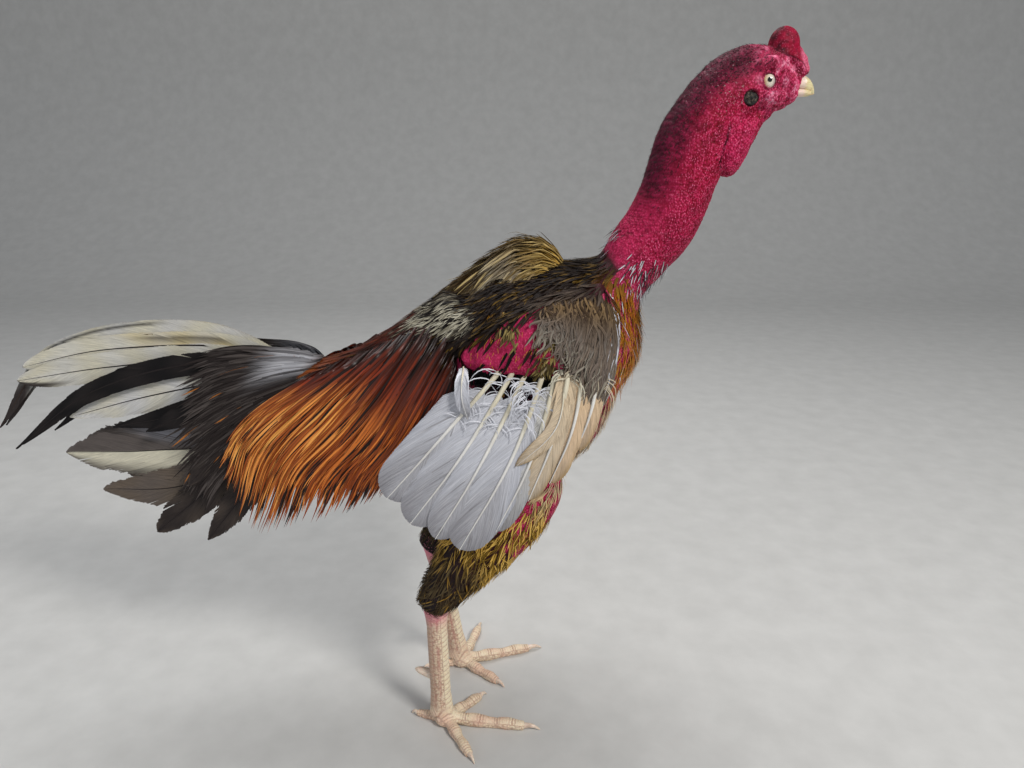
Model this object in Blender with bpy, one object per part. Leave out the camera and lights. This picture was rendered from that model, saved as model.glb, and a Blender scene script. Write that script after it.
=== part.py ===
"""A life-size standing gamecock: bare neck and head, saddle of long hackles, loose tail.

The bird faces +X with its left side at +Y and its feet on z = 0. Every length is in metres.
"""

import math

import bmesh
import bpy
import numpy as np

# Driving dimensions
GAP = 0.0003  # air between two pieces that touch
VANE = 0.0007  # thickness of a feather
FLAT = math.radians(0.2)  # faces within this angle are one flat face
SEED = 7
SIDES = (("right", -1.0), ("left", 1.0))

# Stations of the trunk, neck and head, from the tail root to the foot of the beak:
# x, z, reach to the back, reach to the belly, half width
TRUNK = (
    (-0.090, 0.342, 0.012, 0.013, 0.012),
    (-0.058, 0.341, 0.020, 0.034, 0.033),
    (-0.012, 0.333, 0.049, 0.056, 0.055),
    (0.036, 0.330, 0.081, 0.080, 0.072),
    (0.082, 0.335, 0.097, 0.095, 0.082),
    (0.124, 0.354, 0.090, 0.105, 0.084),
    (0.160, 0.387, 0.080, 0.083, 0.078),
    (0.187, 0.418, 0.050, 0.070, 0.062),
    (0.209, 0.4415, 0.022, 0.040, 0.040),
    (0.229, 0.460, 0.026, 0.031, 0.0315),
    (0.250, 0.483, 0.030, 0.0305, 0.030),
    (0.2625, 0.508, 0.0305, 0.030, 0.0295),
    (0.270, 0.533, 0.031, 0.031, 0.0295),
    (0.279, 0.558, 0.032, 0.031, 0.029),
    (0.295, 0.583, 0.031, 0.029, 0.027),
    (0.3155, 0.6005, 0.032, 0.026, 0.0225),
    (0.336, 0.606, 0.0265, 0.0265, 0.0195),
    (0.352, 0.6035, 0.0185, 0.0195, 0.0145),
    (0.3625, 0.603, 0.011, 0.0115, 0.009),
)
SADDLE_END = 3.6  # the station where the saddle meets the torso
TORSO_END = 8.0
NECK_SPLIT = 10.6
NECK_END = 13.5
HEAD_END = 18.0

EYE = (0.3328, 0.0145, 0.6050)
EYE_R = 0.0072
EAR = (0.3178, 0.0210, 0.5912)
EAR_R = 0.0068
MOUTH_Z = 0.5993
MOUTH_BACK = 0.3555
NOSTRIL = (0.3662, 0.0070, 0.6062)
BROW = (
    (0.3215, 0.0205, 0.6145),
    (0.3290, 0.0203, 0.6188),
    (0.3390, 0.0185, 0.6180),
    (0.3480, 0.0145, 0.6120),
)
BROW_R = (0.0020, 0.0040, 0.0040, 0.0020)
CHEEK = ((0.3300, 0.0200, 0.5935), (0.3390, 0.0185, 0.5915), (0.3490, 0.0145, 0.5945))
COMB_BULBS = ((0.3575, 0.6270, 0.0072), (0.3625, 0.6215, 0.0066), (0.3660, 0.6155, 0.0052))  # x, z, radius
# Throat skin: middle line and the line of each side lobe, with their radii
THROAT = (
    (0.3480, 0, 0.5910),
    (0.3390, 0, 0.5850),
    (0.3270, 0, 0.5755),
    (0.3190, 0, 0.5610),
    (0.3130, 0, 0.5480),
    (0.3080, 0, 0.5370),
    (0.3020, 0, 0.5330),
)
THROAT_R = (0.0045, 0.0070, 0.0095, 0.0102, 0.0105, 0.0092, 0.0050)
LOBE = (
    (0.3330, 0.0110, 0.5830),
    (0.3215, 0.0140, 0.5700),
    (0.3125, 0.0150, 0.5570),
    (0.3080, 0.0135, 0.5440),
    (0.3060, 0.0100, 0.5345),
)
LOBE_R = (0.0030, 0.0065, 0.0088, 0.0090, 0.0060)

# Folded wing: x, distance from the mid plane, z, half height, half thickness
WING = (
    (0.214, 0.062, 0.400, 0.010, 0.006),
    (0.207, 0.068, 0.398, 0.034, 0.014),
    (0.190, 0.073, 0.397, 0.050, 0.019),
    (0.155, 0.080, 0.400, 0.037, 0.020),
    (0.115, 0.083, 0.393, 0.025, 0.016),
    (0.085, 0.080, 0.386, 0.013, 0.009),
    (0.078, 0.078, 0.384, 0.004, 0.003),
)
ARM_Y = 0.082  # where the quills start inside the arm
FLIGHT_Y, FLIGHT_STEP = 0.0955, 0.0013  # the layers of the folded wing, from the rear feather outwards
# Feathers of each wing: x and z of the start, the middle and the tip, and the half width
FLIGHTS = (
    (0.118, 0.385, 0.060, 0.318, 0.012, 0.262, 0.0165),
    (0.126, 0.384, 0.078, 0.304, 0.031, 0.238, 0.0165),
    (0.135, 0.382, 0.094, 0.297, 0.053, 0.225, 0.0150),
    (0.148, 0.380, 0.119, 0.300, 0.074, 0.215, 0.0170),
    (0.158, 0.378, 0.136, 0.300, 0.106, 0.232, 0.0120),
    (0.169, 0.390, 0.156, 0.325, 0.134, 0.262, 0.0110),
    (0.180, 0.395, 0.171, 0.330, 0.152, 0.277, 0.0105),
    (0.189, 0.390, 0.187, 0.350, 0.174, 0.306, 0.0085),
)
SHOULDER_LOCKS = (4, 4)
HACKLES_IN_TIER = (8, 8, 7)  # saddle hackles on each side, from the lowest and innermost tier up
HACKLE_REACH = (1.0, 0.80, 0.60)  # how far each tier comes towards the fringe
HACKLE_RISE = (12, 42, 74)  # degrees up from the flank where each tier is rooted
FRINGE = (  # x and z of the hackles' tips, from the tail to the wing
    (-0.163, 0.276),
    (-0.146, 0.228),
    (-0.112, 0.210),
    (-0.070, 0.220),
    (-0.030, 0.234),
    (0.000, 0.238),
    (0.026, 0.262),
)
TAIL_ROOT = (-0.070, 0.345)
# Tail feathers of each side from the inside out: x and z of two points and the tip, half width, bluntness
TAIL = (
    (-0.164, 0.386, -0.302, 0.370, -0.3716, 0.2948, 0.0120, 0.10),
    (-0.140, 0.374, -0.254, 0.373, -0.3377, 0.3562, 0.0125, 0.60),
    (-0.141, 0.364, -0.251, 0.357, -0.3431, 0.3434, 0.0135, 0.50),
    (-0.139, 0.343, -0.220, 0.329, -0.2976, 0.3087, 0.0130, 0.25),
    (-0.136, 0.285, -0.226, 0.275, -0.3055, 0.2744, 0.0195, 0.35),
    (-0.127, 0.270, -0.201, 0.239, -0.2745, 0.2373, 0.0150, 0.35),
    (-0.129, 0.328, -0.193, 0.312, -0.2540, 0.3016, 0.0140, 0.08),
    (-0.154, 0.362, -0.264, 0.338, -0.3470, 0.2807, 0.0105, 0.08),
    (-0.117, 0.287, -0.167, 0.242, -0.2242, 0.1956, 0.0130, 0.45),
    (-0.104, 0.278, -0.135, 0.237, -0.1745, 0.1885, 0.0120, 0.30),
    (-0.116, 0.338, -0.164, 0.323, -0.2182, 0.3007, 0.0130, 0.20),
    (-0.108, 0.318, -0.144, 0.291, -0.1846, 0.2477, 0.0130, 0.20),
)
CAPE_SPINE = (
    (0.193, 0, 0.438),
    (0.178, 0, 0.447),
    (0.152, 0, 0.459),
    (0.122, 0, 0.458),
    (0.090, 0, 0.440),
    (0.062, 0, 0.424),
)
CAPE_LOCKS = (4, 5, 6, 5)

# Leg: knee, hock and ankle, with the signed y of each leg
LEGS = {
    "right": {
        "knee": (0.126, -0.055, 0.250),
        "hock": (0.047, -0.056, 0.140),
        "ankle": (0.050, -0.0555, 0.012),
    },
    "left": {
        "knee": (0.120, 0.055, 0.252),
        "hock": (0.036, 0.046, 0.146),
        "ankle": (0.061, 0.0370, 0.012),
    },
}
THIGH = (  # share of the way from knee to hock, half depth, half width
    (-0.32, 0.020, 0.014),
    (-0.12, 0.037, 0.028),
    (0.18, 0.041, 0.031),
    (0.45, 0.036, 0.028),
    (0.70, 0.029, 0.024),
    (0.90, 0.0225, 0.0195),
    (1.06, 0.0165, 0.0150),
)
SHANK_DEPTH, SHANK_WIDTH = 0.0105, 0.0082
SCUTES = 6
TOE_TIPS = {  # where each claw ends on the ground, x and y
    "right": {
        "hallux": (0.018, -0.043),
        "inner": (0.093, -0.014),
        "middle": (0.148, -0.067),
        "outer": (0.085, -0.112),
    },
    "left": {
        "hallux": (0.022, 0.028),
        "inner": (0.112, -0.004),
        "middle": (0.154, 0.066),
        "outer": (0.083, 0.114),
    },
}
TOE_R = {"hallux": 0.0052, "inner": 0.0062, "middle": 0.0068, "outer": 0.0060}
CLAW_SHARE = 0.17  # of a toe's whole length
PAD_R, PAD_H = 0.0125, 0.0150


def unit(v):
    v = np.asarray(v, float)
    return v / max(np.linalg.norm(v), 1e-12)


def mix(a, b, share):
    return np.asarray(a, float) * (1 - share) + np.asarray(b, float) * share


def along(rows, t):
    """A smooth curve through rows, read at the places t, where row i is at t = i."""
    rows = np.asarray(rows, float)
    ends = np.vstack([2 * rows[0] - rows[1], rows, 2 * rows[-1] - rows[-2]])
    t = np.clip(np.atleast_1d(np.asarray(t, float)), 0, len(rows) - 1)
    i = np.minimum(t.astype(int), len(rows) - 2)
    f = (t - i)[:, None]
    a, b, c, d = (ends[i + k] for k in range(4))
    return 0.5 * (2 * b + (c - a) * f + (2 * a - 5 * b + 4 * c - d) * f**2 + (3 * b - a - 3 * c + d) * f**3)


# Meshes


def mesh_object(name, points, faces):
    mesh = bpy.data.meshes.new(name)
    mesh.from_pydata([tuple(p) for p in points], [], [tuple(int(i) for i in f) for f in faces])
    shape = bpy.data.objects.new(name, mesh)
    bpy.context.scene.collection.objects.link(shape)
    bm = bmesh.new()
    bm.from_mesh(mesh)
    bmesh.ops.recalc_face_normals(bm, faces=bm.faces)
    if bm.calc_volume(signed=True) < 0:
        bmesh.ops.reverse_faces(bm, faces=bm.faces)
    bm.to_mesh(mesh)
    bm.free()
    return shape


def tube_mesh(name, centres, ups, downs, widths, side_hint=(0, 1, 0), ring=20, least_z=None, tangents=None):
    """A closed tube of oval rings. The hint gives the direction of the ring's width."""
    centres = np.asarray(centres, float)
    if tangents is None:
        tangents = np.gradient(centres, axis=0)
    angles = np.arange(ring) * 2 * math.pi / ring
    points = []
    for c, t, up, down, width in zip(centres, tangents, ups, downs, widths):
        t = unit(t)
        side = unit(np.asarray(side_hint, float) - np.dot(side_hint, t) * t)
        normal = np.cross(t, side)
        for a in angles:
            reach = up if math.sin(a) > 0 else down
            points.append(c + side * width * math.cos(a) + normal * reach * math.sin(a))
    points = np.array(points)
    if least_z is not None:
        points[:, 2] = np.maximum(points[:, 2], least_z)
    count = len(centres)
    first, last = len(points), len(points) + 1
    points = np.vstack([points, points[:ring].mean(0), points[-ring:].mean(0)])
    faces = []
    for i in range(count - 1):
        for j in range(ring):
            k = (j + 1) % ring
            faces.append((i * ring + j, i * ring + k, (i + 1) * ring + k, (i + 1) * ring + j))
    for j in range(ring):
        k = (j + 1) % ring
        faces.append((first, k, j))
        faces.append((last, (count - 1) * ring + j, (count - 1) * ring + k))
    return mesh_object(name, points, faces)


def trunk_tube(name, start, end, count, grow=0.0, ring=20):
    """The stretch of the trunk between two stations, swollen by grow."""
    places = np.linspace(start, end, count)
    rows = along(TRUNK, places)
    ahead = along(TRUNK, places + 0.01) - along(TRUNK, places - 0.01)
    centres = np.column_stack([rows[:, 0], np.zeros(count), rows[:, 1]])
    tangents = np.column_stack([ahead[:, 0], np.zeros(count), ahead[:, 1]])
    sizes = rows[:, 2:] + grow
    return tube_mesh(name, centres, *sizes.T, ring=ring, tangents=tangents)


def trunk_skin(t, phi, lift=0.0):
    """A point on the trunk at station t, phi radians up from the side (+Y), and its outward normal."""
    row, ahead = along(TRUNK, [t, min(t + 0.02, len(TRUNK) - 1)])
    tangent = unit((ahead[0] - row[0], 0, ahead[1] - row[1]))
    normal = np.cross(tangent, (0, 1, 0))
    reach = row[2] if math.sin(phi) > 0 else row[3]
    offset = np.array((0, 1, 0)) * row[4] * math.cos(phi) + normal * reach * math.sin(phi)
    out = unit(np.array((0, 1, 0)) * math.cos(phi) / row[4] + normal * math.sin(phi) / reach)
    return np.array((row[0], 0, row[1])) + offset + out * lift, out, tangent


def ball(name, centre, radii, segments=14, rings=8, turn=0.0):
    """An ellipsoid, turned about Y by turn radians."""
    bm = bmesh.new()
    bmesh.ops.create_uvsphere(bm, u_segments=segments, v_segments=rings, radius=1.0)
    c, s = math.cos(turn), math.sin(turn)
    for v in bm.verts:
        x, y, z = (v.co[i] * radii[i] for i in range(3))
        v.co = (centre[0] + c * x + s * z, centre[1] + y, centre[2] - s * x + c * z)
    mesh = bpy.data.meshes.new(name)
    bm.to_mesh(mesh)
    bm.free()
    shape = bpy.data.objects.new(name, mesh)
    bpy.context.scene.collection.objects.link(shape)
    return shape


def hoop(name, centre, major, minor, flat=0.7, segments=12, ring=4):
    """A ring whose hole looks along Y, such as an eyelid."""
    points, faces = [], []
    for i in range(segments):
        a = 2 * math.pi * i / segments
        for j in range(ring):
            b = 2 * math.pi * j / ring
            r = major + minor * math.cos(b)
            out = flat * minor * math.sin(b)
            points.append((centre[0] + r * math.cos(a), centre[1] + out, centre[2] + r * math.sin(a)))
            k, m = (i + 1) % segments, (j + 1) % ring
            faces.append((i * ring + j, k * ring + j, k * ring + m, i * ring + m))
    return mesh_object(name, points, faces)


def vane(name, path, face, widths, thick=VANE):
    """A feather: a thin closed plate along path, facing the direction face at each point."""
    path = np.asarray(path, float)
    tangents = np.gradient(path, axis=0)
    points, faces = [], []
    for i, place in enumerate(path):
        t = unit(tangents[i])
        out = np.asarray(face[i] if np.ndim(face) == 2 else face, float)
        out = unit(out - np.dot(out, t) * t)
        side = np.cross(out, t) * widths[i]
        for across, lift in ((-1, thick / 2), (1, thick / 2), (1, -thick / 2), (-1, -thick / 2)):
            points.append(place + side * across + out * lift)
    for i in range(len(path) - 1):
        a, b = i * 4, (i + 1) * 4
        # Both broad faces are split along the same diagonal, so that they can't cross.
        faces += [(a, a + 1, b + 1), (a, b + 1, b)]
        faces += [(a + 3, b + 2, a + 2), (a + 3, b + 3, b + 2)]
        faces += [(a + 1, a + 2, b + 2, b + 1), (a + 3, a, b, b + 3)]
    last = (len(path) - 1) * 4
    faces += [(0, 3, 2, 1), (last, last + 1, last + 2, last + 3)]
    return mesh_object(name, points, faces)


# Joining and cutting


def boolean(target, operation, others, solver):
    """Applies one Boolean of a group of closed meshes to target, and removes the group."""
    group = bpy.data.collections.new("group")
    bpy.context.scene.collection.children.link(group)
    for other in others:
        bpy.context.scene.collection.objects.unlink(other)
        group.objects.link(other)
    step = target.modifiers.new("boolean", "BOOLEAN")
    step.operation = operation
    step.operand_type = "COLLECTION"
    step.collection = group
    step.solver = solver
    graph = bpy.context.evaluated_depsgraph_get()
    made = bpy.data.meshes.new_from_object(target.evaluated_get(graph))
    target.modifiers.clear()
    target.data = made
    for other in list(group.objects):
        bpy.data.objects.remove(other)
    bpy.data.collections.remove(group)
    keep_largest(target, operation == "UNION")
    return target


def keep_largest(shape, flatten):
    """Keeps the largest closed surface, which drops scraps and sealed hollows."""
    bm = bmesh.new()
    bm.from_mesh(shape.data)
    bm.faces.ensure_lookup_table()
    left, shells = set(bm.faces), []
    while left:
        stack, shell = [left.pop()], []
        while stack:
            face = stack.pop()
            shell.append(face)
            for edge in face.edges:
                for other in edge.link_faces:
                    if other in left:
                        left.remove(other)
                        stack.append(other)
        shells.append(shell)
    shells.sort(key=lambda s: sum(f.calc_area() for f in s), reverse=True)
    spare = [f for shell in shells[1:] for f in shell]
    if spare:
        bmesh.ops.delete(bm, geom=spare, context="FACES")
    if flatten:
        # A union leaves flat faces in many pieces.
        bmesh.ops.dissolve_limit(bm, angle_limit=FLAT, verts=bm.verts, edges=bm.edges)
        bmesh.ops.triangulate(bm, faces=bm.faces)
    bm.to_mesh(shape.data)
    bm.free()


def union(target, others, solver="EXACT"):
    return boolean(target, "UNION", others, solver)


def carve(target, others, solver="EXACT"):
    return boolean(target, "DIFFERENCE", others, solver)


def swollen(name, grow):
    """A copy of a finished node, grown along its normals, to cut a neighbour clear of it."""
    shape = bpy.data.objects.new("cutter", bpy.data.objects[name].data.copy())
    bpy.context.scene.collection.objects.link(shape)
    normals = [v.normal.copy() for v in shape.data.vertices]
    for v, normal in zip(shape.data.vertices, normals):
        v.co += normal * grow
    return shape


def clear_of(target, *names):
    """Cuts target by grown copies of the named nodes, one at a time."""
    for name in names:
        carve(target, [swollen(name, 2 * GAP)], "MANIFOLD")


def finish(shape, colour, roughness):
    material = bpy.data.materials.get(shape.name) or bpy.data.materials.new(shape.name)
    material.use_nodes = True
    shader = material.node_tree.nodes["Principled BSDF"]
    shader.inputs["Base Color"].default_value = (*colour, 1)
    shader.inputs["Roughness"].default_value = roughness
    shape.data.materials.clear()
    shape.data.materials.append(material)
    shape.data.shade_smooth()
    shape.data.set_sharp_from_angle(angle=math.radians(35))


RED = (0.50, 0.02, 0.07)
PINK = (0.62, 0.16, 0.20)
OLIVE = (0.13, 0.09, 0.03)
BROWN = (0.09, 0.05, 0.03)
RUST = (0.42, 0.13, 0.02)
DARK = (0.03, 0.025, 0.03)
WHITE = (0.72, 0.72, 0.74)
LEG = (0.72, 0.50, 0.38)
HORN = (0.75, 0.66, 0.42)


# Trunk and head


def trunk_gap(station):
    """GAP as a share of the spacing of the stations there."""
    a, b = along(TRUNK, [station, station + 0.05])
    return GAP * 0.05 / np.linalg.norm((b - a)[:2])


def trunk_nodes():
    torso = trunk_tube("torso", SADDLE_END + trunk_gap(SADDLE_END), TORSO_END, 12)
    finish(torso, OLIVE, 0.8)
    lower = trunk_tube("neck_lower", TORSO_END + trunk_gap(TORSO_END), NECK_SPLIT, 7)
    finish(lower, RED, 0.5)
    upper = trunk_tube("neck_upper", NECK_SPLIT + trunk_gap(NECK_SPLIT), NECK_END, 7)
    finish(upper, RED, 0.5)


def mirrored(point, sign):
    return (point[0], point[1] * sign, point[2])


def tube_along(name, points, radii, count, squash=1.0, ring=7):
    """A rounded roll of skin through points. Squash is its width over its depth."""
    path = along(points, np.linspace(0, len(points) - 1, count))
    sizes = along([(r,) for r in radii], np.linspace(0, len(radii) - 1, count))[:, 0]
    return tube_mesh(name, path, sizes, sizes, sizes * squash, ring=ring)


def head_node():
    head = trunk_tube("head", NECK_END + trunk_gap(NECK_END), HEAD_END, 12)
    extras, cutters = [], []
    for _, sign in SIDES:
        extras.append(tube_along("brow", [mirrored(p, sign) for p in BROW], BROW_R, 6))
        extras.append(tube_along("cheek", [mirrored(p, sign) for p in CHEEK], (0.0025, 0.0050, 0.0025), 5))
        extras.append(hoop("lid", mirrored((EYE[0], EYE[1] + 0.0044, EYE[2]), sign), EYE_R * 0.86, 0.0020))
        extras.append(hoop("ear_rim", mirrored(EAR, sign), EAR_R + 0.0008, 0.0022))
        cutters.append(ball("socket", mirrored(EYE, sign), (EYE_R + GAP,) * 3, 12, 8))
        cutters.append(ball("ear_cup", mirrored(EAR, sign), (EAR_R, 0.0048, EAR_R), 10, 6))
    union(head, extras)
    slot = ball("mouth", (MOUTH_BACK + 0.0120, 0, MOUTH_Z), (0.0120, 0.0300, 0.0004), 12, 6)
    carve(head, cutters + [slot])
    finish(head, RED, 0.5)
    for label, sign in SIDES:
        eye = ball("eye_" + label, mirrored(EYE, sign), (EYE_R,) * 3, 12, 8)
        finish(eye, (0.80, 0.72, 0.55), 0.1)
        x, y, z = EAR
        across = EAR_R - 2 * GAP
        ear = ball("ear_" + label, (x, sign * (y - 0.0010), z), (across, 0.0030, across), 8, 5)
        finish(ear, (0.05, 0.03, 0.03), 0.8)


def beak_nodes():
    upper = (  # x, z, up, down, half width
        (0.3590, 0.6030, 0.0088, 0.0033, 0.0078),
        (0.3660, 0.6040, 0.0078, 0.0040, 0.0068),
        (0.3720, 0.6030, 0.0060, 0.0036, 0.0050),
        (0.3762, 0.5998, 0.0035, 0.0030, 0.0028),
        (0.3775, 0.5968, 0.0010, 0.0010, 0.0009),
    )
    lower = (
        (0.3590, 0.5965, 0.0022, 0.0034, 0.0066),
        (0.3665, 0.5967, 0.0020, 0.0030, 0.0052),
        (0.3715, 0.5963, 0.0016, 0.0022, 0.0032),
        (0.3740, 0.5958, 0.0008, 0.0010, 0.0012),
    )
    for name, rows in (("beak_upper", upper), ("beak_lower", lower)):
        rows = along(rows, np.linspace(0, len(rows) - 1, 7))
        centres = np.column_stack([rows[:, 0], np.zeros(len(rows)), rows[:, 1]])
        beak = tube_mesh(name, centres, *rows[:, 2:].T, ring=10)
        clear_of(beak, *["head", "beak_upper"][: 1 + (name == "beak_lower")])
        if name == "beak_upper":
            size = (0.0017, 0.0018, 0.0010)
            carve(beak, [ball("nostril", mirrored(NOSTRIL, sign), size, 8, 6) for _, sign in SIDES])
        finish(beak, HORN, 0.35)


def comb_node():
    """A pea comb: one large lobe thrown back and rows of small bulbs in front of it."""
    comb = ball("comb", (0.3483, 0, 0.6345), (0.0126, 0.0088, 0.0144), 10, 7, 0.10)
    bulbs = [ball("bulb", (0.3475, 0, 0.6275), (0.0130, 0.0092, 0.0095), 10, 7, 0.35)]
    for row, (x, z, r) in enumerate(COMB_BULBS):
        bulbs.append(ball("bulb", (x, 0, z), (r, r * 0.8, r), 7, 5))
        for _, sign in SIDES:
            y = sign * (0.0078 - row * 0.001)
            bulbs.append(ball("bulb", (x - 0.003, y, z - 0.0030), (r * 0.7,) * 3, 6, 4))
    union(comb, bulbs)
    clear_of(comb, "head", "beak_upper")
    finish(comb, RED, 0.5)


def wattle_node():
    """Folded throat skin from the chin down the front of the neck, with a lobe on each side."""
    wattles = tube_along("wattles", THROAT, THROAT_R, 9, 0.85, 10)
    lobes = []
    for _, sign in SIDES:
        lobes.append(tube_along("lobe", [mirrored(p, sign) for p in LOBE], LOBE_R, 7, 0.9, 8))
    union(wattles, lobes)
    clear_of(wattles, "neck_upper", "head", "beak_lower")
    finish(wattles, RED, 0.5)


# Legs


def thigh_nodes():
    for label, _ in SIDES:
        joint = LEGS[label]
        rows = along(THIGH, np.linspace(0, len(THIGH) - 1, 9))
        centres = [mix(joint["knee"], joint["hock"], share) for share in rows[:, 0]]
        thigh = tube_mesh("thigh_" + label, centres, rows[:, 1], rows[:, 1], rows[:, 2], ring=16)
        clear_of(thigh, "torso")
        finish(thigh, OLIVE, 0.8)


def shank(label):
    """The scaled shank, with a row of overlapping scutes down it."""
    joint = LEGS[label]
    top, foot = np.array(joint["hock"]), np.array(joint["ankle"])
    down = unit(foot - top)
    centres, depth, width = [], [], []
    length = np.linalg.norm(foot - top)
    for i in range(SCUTES):
        for share, step in ((0.02, 1.0), (0.98, 0.92)):
            s = (i + share) / SCUTES
            swell = 1 + 0.30 * max(0.0, 0.2 - s) / 0.2 + 0.22 * max(0.0, s - 0.8) / 0.2
            centres.append(top + down * length * s)
            depth.append(SHANK_DEPTH * swell * step)
            width.append(SHANK_WIDTH * swell * step)
    return tube_mesh("shank_" + label, centres, depth, depth, width, ring=8)


def foot_nodes(label, sign):
    ankle = np.array(LEGS[label]["ankle"])
    centre = np.array((ankle[0] + 0.004, ankle[1], 0))
    pad = ball("foot_" + label, centre + (0, 0, PAD_H * 0.5), (PAD_R, PAD_R, PAD_H * 0.62), 10, 6)
    for v in pad.data.vertices:
        v.co.z = max(v.co.z, 0.0)
    finish(pad, LEG, 0.5)
    leg = shank(label)
    clear_of(leg, "thigh_" + label, "foot_" + label)
    finish(leg, LEG, 0.5)

    back = np.array((-SHANK_DEPTH * 0.6, -sign * SHANK_WIDTH * 0.5, 0))
    spur_root = mix(LEGS[label]["hock"], ankle, 0.68) + back
    spur_path = [spur_root + np.array((-0.020, -sign * 0.006, 0.003)) * s for s in (0, 0.4, 0.8, 1.0)]
    spur_r = (0.0052, 0.0046, 0.0036, 0.0018)
    spur = tube_mesh("spur_" + label, spur_path, spur_r, spur_r, spur_r, ring=6)
    clear_of(spur, "shank_" + label)
    finish(spur, HORN, 0.4)

    made = []
    for toe, (tip_x, tip_y) in TOE_TIPS[label].items():
        toe_nodes(label, toe, centre, np.array((tip_x, tip_y, 0.0)), made)
        made.append(f"toe_{label}_{toe}")


def toe_nodes(label, toe, centre, tip, made):
    """One toe with its joint pads, flat underneath, and its curved claw."""
    r = TOE_R[toe]
    root_z = PAD_H * 0.55
    shares = np.linspace(0, 1 - CLAW_SHARE, 7)
    swell = 1 + 0.10 * np.cos(shares * 2 * math.pi * (2.0 if toe == "hallux" else 3.0))
    radius = r * (1 - 0.34 * shares) * swell
    path = np.array([mix(centre, tip, s) for s in shares])
    path[:, 2] = radius * 0.80 + (root_z - r * 0.8) * np.clip(1 - shares / 0.30, 0, 1)
    across = np.cross((0, 0, 1), unit(tip - centre))
    name = f"toe_{label}_{toe}"
    digit = tube_mesh(name, path, radius, radius, radius * 1.05, across, 7, 0.0)
    clear_of(digit, "foot_" + label, *made)
    finish(digit, LEG, 0.5)

    reach = unit(tip - centre) * np.linalg.norm(tip - centre) * CLAW_SHARE
    drop = path[-1][2] - 0.0004  # the tip rests on the ground
    shares = np.array((-0.1, 0.3, 0.7, 1.0))
    claw_path = path[-1] + reach * shares[:, None]
    claw_path[:, 2] += 0.0020 * np.sin(math.pi * shares) - drop * shares
    claw_r = np.array((0.72, 0.60, 0.38, 0.12)) * radius[-1]
    claw = tube_mesh(f"claw_{label}_{toe}", claw_path, claw_r, claw_r, claw_r * 0.8, across, 5, 0.0)
    clear_of(claw, name)
    finish(claw, HORN, 0.4)


# Feathers


def feather_widths(count, half, blunt=0.25, root=0.35):
    """Half widths along a feather: narrow root, widest past the middle, blunt or pointed tip."""
    s = np.linspace(0, 1, count)
    grow = root + (1 - root) * np.clip(s / 0.35, 0, 1) ** 0.7
    bend = 0.5 + 0.3 * blunt
    fall = 1 - (1 - blunt) * np.clip((s - bend) / (1 - bend), 0, 1) ** 1.6
    return half * grow * fall


def flank(x, z):
    """Half the trunk's width at this place of its side view, 0 outside its outline."""
    rows = along(TRUNK, np.linspace(0, TORSO_END, 161))
    ahead = np.gradient(rows[:, :2], axis=0)
    ahead /= np.linalg.norm(ahead, axis=1)[:, None]
    delta = np.array((x, z)) - rows[:, :2]
    near = np.abs((delta * ahead).sum(1)) < 0.004
    if not near.any():
        return 0.0
    height = ahead[near, 0] * delta[near, 1] - ahead[near, 1] * delta[near, 0]
    reach = np.where(height > 0, rows[near, 2], rows[near, 3])
    room = np.clip(1 - (height / reach) ** 2, 0, 1)
    return float((rows[near, 4] * np.sqrt(room)).max())


def curve(points, count):
    """Points at even steps along a smooth curve."""
    fine = along(points, np.linspace(0, len(points) - 1, 60))
    length = np.concatenate([[0], np.cumsum(np.linalg.norm(np.diff(fine, axis=0), axis=1))])
    at = np.linspace(0, length[-1], count)
    return np.column_stack([np.interp(at, length, fine[:, k]) for k in range(fine.shape[1])])


def hackle(rise, place, reach, sign, lift, half):
    """One saddle hackle, from its root on the back to its share of the way to the fringe."""
    station = mix(0.95, SADDLE_END - 0.15, place)
    root, _, _ = trunk_skin(float(station), math.radians(rise), -0.005)
    tip = along(FRINGE, place * (len(FRINGE) - 1))[0]
    back = root[[0, 2]]
    tip = mix(back, tip, reach)
    bend = mix(back, tip, 0.45) + np.array((-0.012, 0.016)) * (1.2 - 0.5 * place)
    flat = curve([back, bend, tip], 5)
    path, y = [np.array((root[0], root[1], root[2]))], root[1]
    floor = float(np.interp(place, (0, 0.35, 1), (0.036, 0.050, 0.060)))
    for i, (x, z) in enumerate(flat[1:], 1):
        y = max(y, flank(x, z) + lift, (floor + lift) * min(1.0, i / 1.2)) - (0.0 if i < 4 else 0.002)
        path.append(np.array((x, y, z)))
    path = np.array(path)
    faces = np.array([(0.0, 1.0, 0.9 * (1 - i / 4) * math.sin(math.radians(rise)) + 0.1) for i in range(5)])
    return vane("hackle", path * (1, sign, 1), faces * (1, sign, 1), feather_widths(5, half, 0.12, 0.45))


def saddle_node():
    rng = np.random.default_rng(SEED)
    saddle = trunk_tube("saddle", 0.25, SADDLE_END, 9)
    locks = []
    for tier, count in enumerate(HACKLES_IN_TIER):
        for _, sign in SIDES:
            for i in range(count):
                place = (i + 0.5 + 0.25 * (tier % 2) + rng.uniform(-0.08, 0.08)) / (count + 0.25)
                reach = HACKLE_REACH[tier] * rng.uniform(0.95, 1.02)
                lift = (0.0020 + 0.0042 * tier + 0.0021 * (i % 2)) * (1 - 0.25 * place)
                locks.append(hackle(HACKLE_RISE[tier], place, reach, sign, lift, 0.0085))
    union(saddle, locks, "MANIFOLD")
    clear_of(saddle, "torso", "thigh_right", "thigh_left")
    finish(saddle, RUST, 0.6)


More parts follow.
